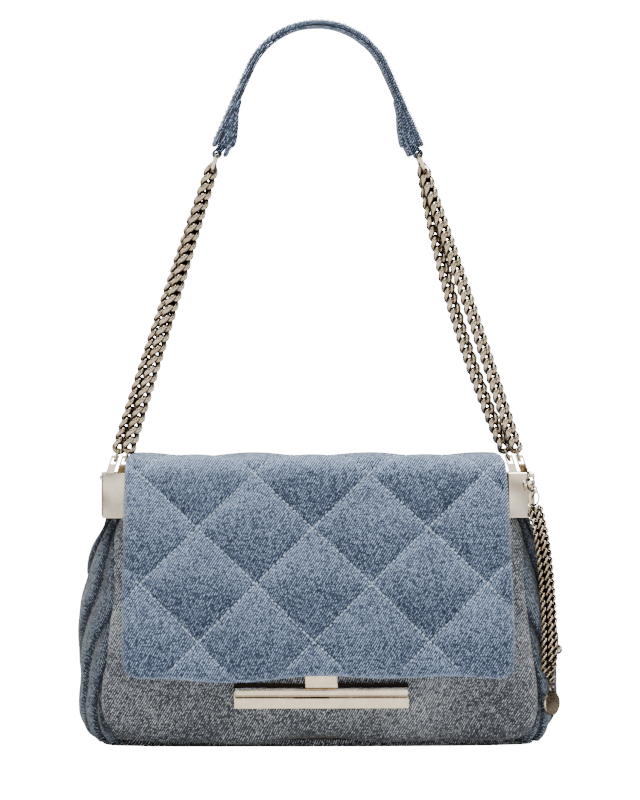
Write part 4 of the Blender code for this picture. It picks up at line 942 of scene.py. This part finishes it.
def centre_line(node, degree):
    """A CAD run's middle line: places along it as a function of arc length, and its length."""
    low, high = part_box(node)
    co = np.array([v.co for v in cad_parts[node].data.vertices])
    bins = np.linspace(low.z, high.z, 14)
    spots = []
    for a, b in zip(bins, bins[1:]):
        some = co[(co[:, 2] >= a) & (co[:, 2] <= b)]
        if len(some):
            middle = (some.min(0) + some.max(0)) / 2
            spots.append((middle[0], middle[1], (a + b) / 2))
    spots = np.array(spots)
    fits = [np.polyfit(spots[:, 2], spots[:, axis], degree) for axis in (0, 1)]
    z = np.linspace(low.z, high.z, 400)
    line = np.stack((*(np.polyval(fit, z) for fit in fits), z), axis=1)
    at = grid_lengths(line)

    def place(s):
        return Vector([np.interp(s, at, line[:, k]) for k in range(3)])

    return place, at[-1]


def curb_link(width, length, wire, steps, sides, flat):
    """A twisted oval link in its own frame: Z along the chain, X across it."""
    points = []
    for i in range(steps):
        turn = 2 * math.pi * i / steps
        points.append((
            (width / 2 - wire) * math.sin(turn),
            0.9 * wire * math.sin(2 * turn),
            (length / 2 - wire) * math.cos(turn),
        ))
    return tube(points, wire, sides, closed=True, flatten=flat)


def placed(part, place, s, turn=0.0):
    """A part set on a centre line at an arc length, its Z along the line."""
    up = (place(s + 0.0005) - place(s - 0.0005)).normalized()
    side = Vector((0, 1, 0)).cross(up).normalized()
    back = up.cross(side)
    matrix = Matrix.Translation(place(s)) @ Matrix((side, back, up)).transposed().to_4x4()
    matrix = matrix @ Matrix.Rotation(turn, 4, "Z")
    return [matrix @ Vector(v) for v in part[0]], part[1]


def end_ring():
    """The long ring at a chain's lower end, across the chain's own links."""
    points = []
    for i in range(20):
        turn = 2 * math.pi * i / 20
        points.append((
            0, squared(math.sin(turn), 0.6) * 2.0 * MM, squared(math.cos(turn), 0.6) * 3.4 * MM
        ))
    return tube(points, 0.8 * MM, 8, closed=True, up=(1, 0, 0))


class BAG_OT_chains(bpy.types.Operator):
    """Four runs of flattened curb links with their end rings"""
    bl_idname = "bag.chains"
    bl_label = "Chains"

    def execute(self, context):
        twist = bag_settings().chain_twist
        link, ring = curb_link(*CHAIN_LINK), end_ring()
        for label, count in LINK_COUNTS.items():
            place, length = centre_line("chain_" + label, 2)
            first, last = 9.9 * MM, length - 4.5 * MM
            parts = [
                placed(link, place, first + (last - first) * i / (count - 1), twist)
                for i in range(count)
            ]
            parts.append(placed(ring, place, 3.9 * MM))
            made = gather("curb_chain_" + label, parts)
            fit(made, "chain_gold_plating", "champagne_metal", "chains", ["chain_" + label])
        return {"FINISHED"}


class BAG_OT_charm(bpy.types.Operator):
    """Five fine chains of the tassel"""
    bl_idname = "bag.charm"
    bl_label = "Tassel"

    def execute(self, context):
        link = curb_link(*TASSEL_LINK)
        for number in range(1, 6):
            node = "tassel_strand_" + str(number)
            place, length = centre_line(node, 4)
            count = int((length - 3.0 * MM) / TASSEL_PITCH) + 1
            # each link stands a quarter turn from the one before
            parts = [
                placed(
                    link, place, 1.7 * MM + i * TASSEL_PITCH, number * 0.9 + i * math.pi / 2
                )
                for i in range(count)
            ]
            made = gather("tassel_chain_" + str(number), parts)
            fit(made, "chain_gold_plating", "champagne_metal", "charm", [node])
        return {"FINISHED"}


class BAG_OT_metal(bpy.types.Operator):
    """Finish of the caps, pins, rings, connectors, clasp and charm fittings"""
    bl_idname = "bag.metal"
    bl_label = "Metal fittings"

    def execute(self, context):
        for name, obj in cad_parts.items():
            if any(word in name for word in METAL_WORDS):
                # the clasp rail gets the finish with painted shade above the bar's middle
                painted_dark_rail = name == "clasp_rail"
                dress(obj, RAIL_FINISH if painted_dark_rail else "polished_gold_plating")
                obj.data.shade_smooth()
                obj.data.set_sharp_from_angle(angle=math.radians(32))
            if "magnet" in name:
                dress(obj, "dark_plated_steel")
        return {"FINISHED"}


# Stage

def pale_floor(bag):
    """Matt white table. It glows for the camera, and polished metal sees on it a painted
    reflection: pale in front of the bag and dark under and behind it."""
    tree, shader = new_material("pale_matt_floor")
    rays = add_node(tree, "LightPath").outputs
    feed(
        tree, shader, Base_Color=srgb("#f6f6f6"), Roughness=0.9,
        Emission_Color=srgb("#ffffff"),
        Emission_Strength=add_node(
            tree, "Math", 0, {"operation": "MULTIPLY"}, _0=rays["Is Camera Ray"],
            _1=bag.floor_glow,
        ),
    )
    # 1 is at the bag's middle, 0 a metre in front
    place = add_node(tree, "TexCoord", "Object")
    depth = add_node(
        tree, "MapRange", "Result", Value=add_node(tree, "SeparateXYZ", "Y", Vector=place),
        From_Min=-1.0, From_Max=0.0,
    )
    # painted reflection, seen only by polished metal: pale in front of the bag, near black under
    # and behind it
    painted_reflection = ramp(
        add_node(tree, "ValToRGB", Fac=depth),
        ((0.90, "#efe6d8"), (0.965, "#2a241f"), (1.0, "#241f1a")),
    )
    reflection_only = add_node(tree, "Emission", 0, Color=painted_reflection, Strength=bag.painted_reflection_strength)
    surface = add_node(
        tree, "MixShader", 0, _0=rays["Is Glossy Ray"], _1=shader.outputs[0], _2=reflection_only
    )
    feed(tree, tree.nodes["Material Output"], Surface=surface)


def studio_world(bag):
    """White room: plain white to the camera and a soft light on the cloth. Polished metal
    sees a painted reflection of white bands in front and above, with dark gaps between them,
    which light nothing."""
    world = bpy.data.worlds.new("studio")
    world.use_nodes = True
    tree = world.node_tree
    room = feed(
        tree, tree.nodes["Background"], Color=(1, 1, 1, 1), Strength=bag.world_light
    ).outputs[0]
    around = add_node(tree, "TexCoord", "Generated")
    rise, turn = (
        add_node(
            tree, "MapRange", "Result", From_Min=-1.0, From_Max=1.0,
            Value=add_node(tree, "SeparateXYZ", axis, Vector=around),
        )
        for axis in "ZX"
    )
    # painted reflection, seen only by polished metal: bands from the floor up to the ceiling, and
    # from the left round to the right
    rise = ramp(add_node(tree, "ValToRGB", Fac=rise), (
        (0.30, "#14110e"), (0.42, "#2a2520"), (0.46, "#efe6d9"), (0.51, "#efe6d9"),
        (0.53, "#ffffff"), (0.68, "#ffffff"), (0.71, "#14110e"), (0.77, "#14110e"),
        (0.80, "#ffffff"), (0.90, "#ffffff"), (0.96, "#3a342c"),
    ))
    turn = ramp(add_node(tree, "ValToRGB", Fac=turn), (
        (0.04, "#ffffff"), (0.14, "#ffffff"), (0.20, "#15120f"), (0.34, "#15120f"),
        (0.40, "#e8e0d4"), (0.62, "#ffffff"), (0.68, "#15120f"), (0.84, "#15120f"),
        (0.90, "#ffffff"),
    ))
    painted_bands = add_node(
        tree, "Mix", 2, {"data_type": "RGBA", "blend_type": "MULTIPLY"},
        _0=1.0, _6=rise, _7=turn,
    )
    rays = add_node(tree, "LightPath").outputs
    reflection_only = add_node(tree, "Background", 0, Color=painted_bands, Strength=bag.painted_reflection_strength)
    white = add_node(tree, "Background", 0, Color=(1, 1, 1, 1), Strength=bag.floor_glow)
    seen = add_node(tree, "MixShader", 0, _0=rays["Is Glossy Ray"], _1=room, _2=reflection_only)
    seen = add_node(tree, "MixShader", 0, _0=rays["Is Camera Ray"], _1=seen, _2=white)
    feed(tree, tree.nodes["World Output"], Surface=seen)
    return world


def hang_light(name, place, size, power):
    """A square lamp that points at the bag's middle."""
    data = bpy.data.lights.new(name, "AREA")
    data.size = size
    data.energy = power
    lamp = add_object(name, data)
    lamp.location = place
    aim = Vector((0, 0, 0.12)) - lamp.location
    lamp.rotation_euler = aim.to_track_quat("-Z", "Y").to_euler()


def set_camera(scene, bag):
    """The photo's view: level with the bag, from far in front."""
    data = bpy.data.cameras.new("camera")
    data.sensor_fit = "VERTICAL"
    data.sensor_height = 24
    data.lens = data.sensor_height * bag.camera_distance / bag.view_height
    camera = add_object("camera", data)
    yaw, pitch = math.radians(bag.camera_yaw), math.radians(bag.camera_pitch)
    away = Vector((
        math.sin(yaw) * math.cos(pitch), -math.cos(yaw) * math.cos(pitch), math.sin(pitch)
    ))
    target = Vector((bag.aim_x, 0, bag.aim_z))
    camera.location = target + away * bag.camera_distance
    camera.rotation_euler = (-away).to_track_quat("-Z", "Y").to_euler()
    scene.camera = camera


class BAG_OT_stage(bpy.types.Operator):
    """Pale floor, soft lights and the camera"""
    bl_idname = "bag.stage"
    bl_label = "Stage"

    def execute(self, context):
        scene = context.scene
        bag = bag_settings()
        reach = bag.floor_reach
        corners = ((-reach, -reach, 0), (reach, -reach, 0), (reach, reach, 0), (-reach, reach, 0))
        pale_floor(bag)
        floor = new_object("studio_floor", corners, [(0, 1, 2, 3)])
        dress(floor, "pale_matt_floor")
        scene.world = studio_world(bag)
        hang_light("key_light", (-0.7, -1.1, 1.6), 0.9, 9)
        hang_light("fill_light", (1.3, -1.0, 0.9), 1.0, 3)
        hang_light("top_light", (0.1, -0.1, 1.5), 0.6, 34)
        set_camera(scene, bag)
        return {"FINISHED"}


class BAG_OT_finishes(bpy.types.Operator):
    """Cloth, thread and metal materials"""
    bl_idname = "bag.finishes"
    bl_label = "Finishes"

    def execute(self, context):
        bag = bag_settings()
        washed_denim("blue_washed_denim", bag.blue_deep, bag.blue_mid, bag.blue_pale)
        washed_denim("grey_washed_denim", bag.grey_deep, bag.grey_mid, bag.grey_pale)
        washed_denim("dark_washed_denim", bag.dark_deep, bag.dark_mid, bag.dark_pale)
        plain_cloth("woven_cotton_lining", "#6b645a", "#7d766b")
        cotton_thread("pale_cotton_thread", "#a6bad2", "#dbe5f0")
        cotton_thread("grey_cotton_thread", "#7d8791", "#9aa3ab")
        polished_plating("polished_gold_plating", bag.metal_deep, bag.metal_pale)
        # painted shade darkens the chains' recesses
        polished_plating("chain_gold_plating", bag.chain_deep, bag.chain_pale, shade_recesses=True)
        # painted shade: the rail is painted near black above the bar's middle
        low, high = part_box("clasp_bar")
        polished_plating(
            RAIL_FINISH, bag.metal_deep, bag.metal_pale, painted_dark_above=(low.z + high.z) / 2
        )
        polished_plating("dark_plated_steel", "#3a3a3c", "#55565a", 0.3)
        return {"FINISHED"}


def number(name, value, description, **more):
    return FloatProperty(name=name, description=description, default=value, **more)


def metres(name, value, description):
    return number(name, value, description, unit="LENGTH")


def angle(name, value, description):
    return number(name, value, description, subtype="ANGLE")


def hue(name, value, description):
    return StringProperty(name=name, description=description, default=value)


class BagSettings(bpy.types.PropertyGroup):
    """What can be set on the bag and its stage"""
    grain: number("Mesh spacing", 1.5, "Spacing of the cloth's mesh in mm")
    diamond_width: metres("Diamond width", 0.064, "Width of a quilted diamond")
    diamond_height: metres("Diamond height", 0.0645, "Height of one, along the cloth")
    diamond_x: metres("Crossing, across", -0.0040, "Where two quilting lines cross")
    diamond_z: metres("Crossing, up", 0.0586, "Where two quilting lines cross")
    flap_puff: metres("Flap puff", 0.0060, "Height of the flap's pillows")
    flap_shift: metres("Flap shift", -0.0016, "How far the flap hangs to the right")
    panel_puff: metres("Panel puff", 0.0034, "Height of the walls' pillows")
    # painted light and shade: how much paler cloth is that faces up, and darker that faces down
    painted_slope_shade: number("Fading", 0.75, "How much paler cloth is that faces up")
    fold_count: number("Folds", 2.9, "Drooping folds on a gusset")
    fold_depth: metres("Fold depth", 0.0085, "Depth of the gusset's folds")
    pad_top: metres("Pad top", 0.4033, "Height of the pad's crown")
    pad_radius: metres("Pad radius", 0.0435, "Outer radius of the crown")
    pad_splay: angle("Pad splay", math.radians(23.9), "Lean of a leg")
    pad_depth: metres("Pad depth", 0.0048, "Thickness of the pad")
    pad_outer: metres("Outer layer", 0.0031, "Thickness of the outer layer")
    tab_depth: metres("Tab", 0.0046, "Room for the tab between the layers")
    fold_length: metres("Fold", 0.018, "Length of the pad's folded end")
    chain_twist: angle("Chain twist", 0.5, "Turn of the flattened links about the chain")
    blue_deep: hue("Blue, deep", "#172234", "Flap and pad denim")
    blue_mid: hue("Blue, mid", "#3c5271", "Flap and pad denim")
    blue_pale: hue("Blue, pale", "#b5c9e6", "Flap and pad denim")
    grey_deep: hue("Grey, deep", "#22272e", "Wall denim")
    grey_mid: hue("Grey, mid", "#656b73", "Wall denim")
    grey_pale: hue("Grey, pale", "#d4d8dc", "Wall denim")
    dark_deep: hue("Dark, deep", "#18202a", "Gusset denim")
    dark_mid: hue("Dark, mid", "#363f4a", "Gusset denim")
    dark_pale: hue("Dark, pale", "#8b98a6", "Gusset denim")
    metal_deep: hue("Metal, deep", "#d3c6b2", "Plating of the fittings")
    metal_pale: hue("Metal, pale", "#e6dccb", "Plating of the fittings")
    chain_deep: hue("Chain, deep", "#9c8d78", "Plating of the chains")
    chain_pale: hue("Chain, pale", "#cdbfab", "Plating of the chains")
    floor_reach: metres("Floor reach", 9.0, "Half the width of the white table")
    floor_glow: number("Floor glow", 20.0, "How bright the camera sees floor and room")
    # painted reflections: brightness of the patterns that only polished metal sees
    painted_reflection_strength: number("Mirrored light", 2.4, "Brightness of the sheets that metal mirrors")
    world_light: number("Room light", 0.28, "Light from all around")
    camera_yaw: number("Camera yaw", -2.5, "Turn of the view in degrees")
    camera_pitch: number("Camera pitch", 1.0, "Rise of the view in degrees")
    camera_distance: metres("Camera distance", 4.0, "From the bag's middle")
    view_height: metres("View height", 0.4464, "What the image's height covers")
    aim_x: metres("Aim, across", 0.0014, "The image's middle")
    aim_z: metres("Aim, up", 0.1914, "The image's middle")


PIECES = (
    BAG_OT_finishes, BAG_OT_walls, BAG_OT_gussets, BAG_OT_inside, BAG_OT_flap, BAG_OT_pad,
    BAG_OT_chains, BAG_OT_charm, BAG_OT_metal, BAG_OT_stage,
)


class BAG_PT_panel(bpy.types.Panel):
    """Lists the bag's pieces"""
    bl_label = "Denim bag"
    bl_space_type = "VIEW_3D"
    bl_region_type = "UI"
    bl_category = "Bag"

    def draw(self, context):
        for piece in PIECES:
            self.layout.operator(piece.bl_idname)


def register():
    for some in (BagSettings, *PIECES, BAG_PT_panel):
        bpy.utils.register_class(some)
    bpy.types.Scene.denim_bag = PointerProperty(type=BagSettings)


def unregister():
    del bpy.types.Scene.denim_bag
    for some in reversed((BagSettings, *PIECES, BAG_PT_panel)):
        bpy.utils.unregister_class(some)


def main():
    register()
    for piece in PIECES:
        group, name = piece.bl_idname.split(".")
        getattr(getattr(bpy.ops, group), name)()


if __name__ == "__main__":
    main()
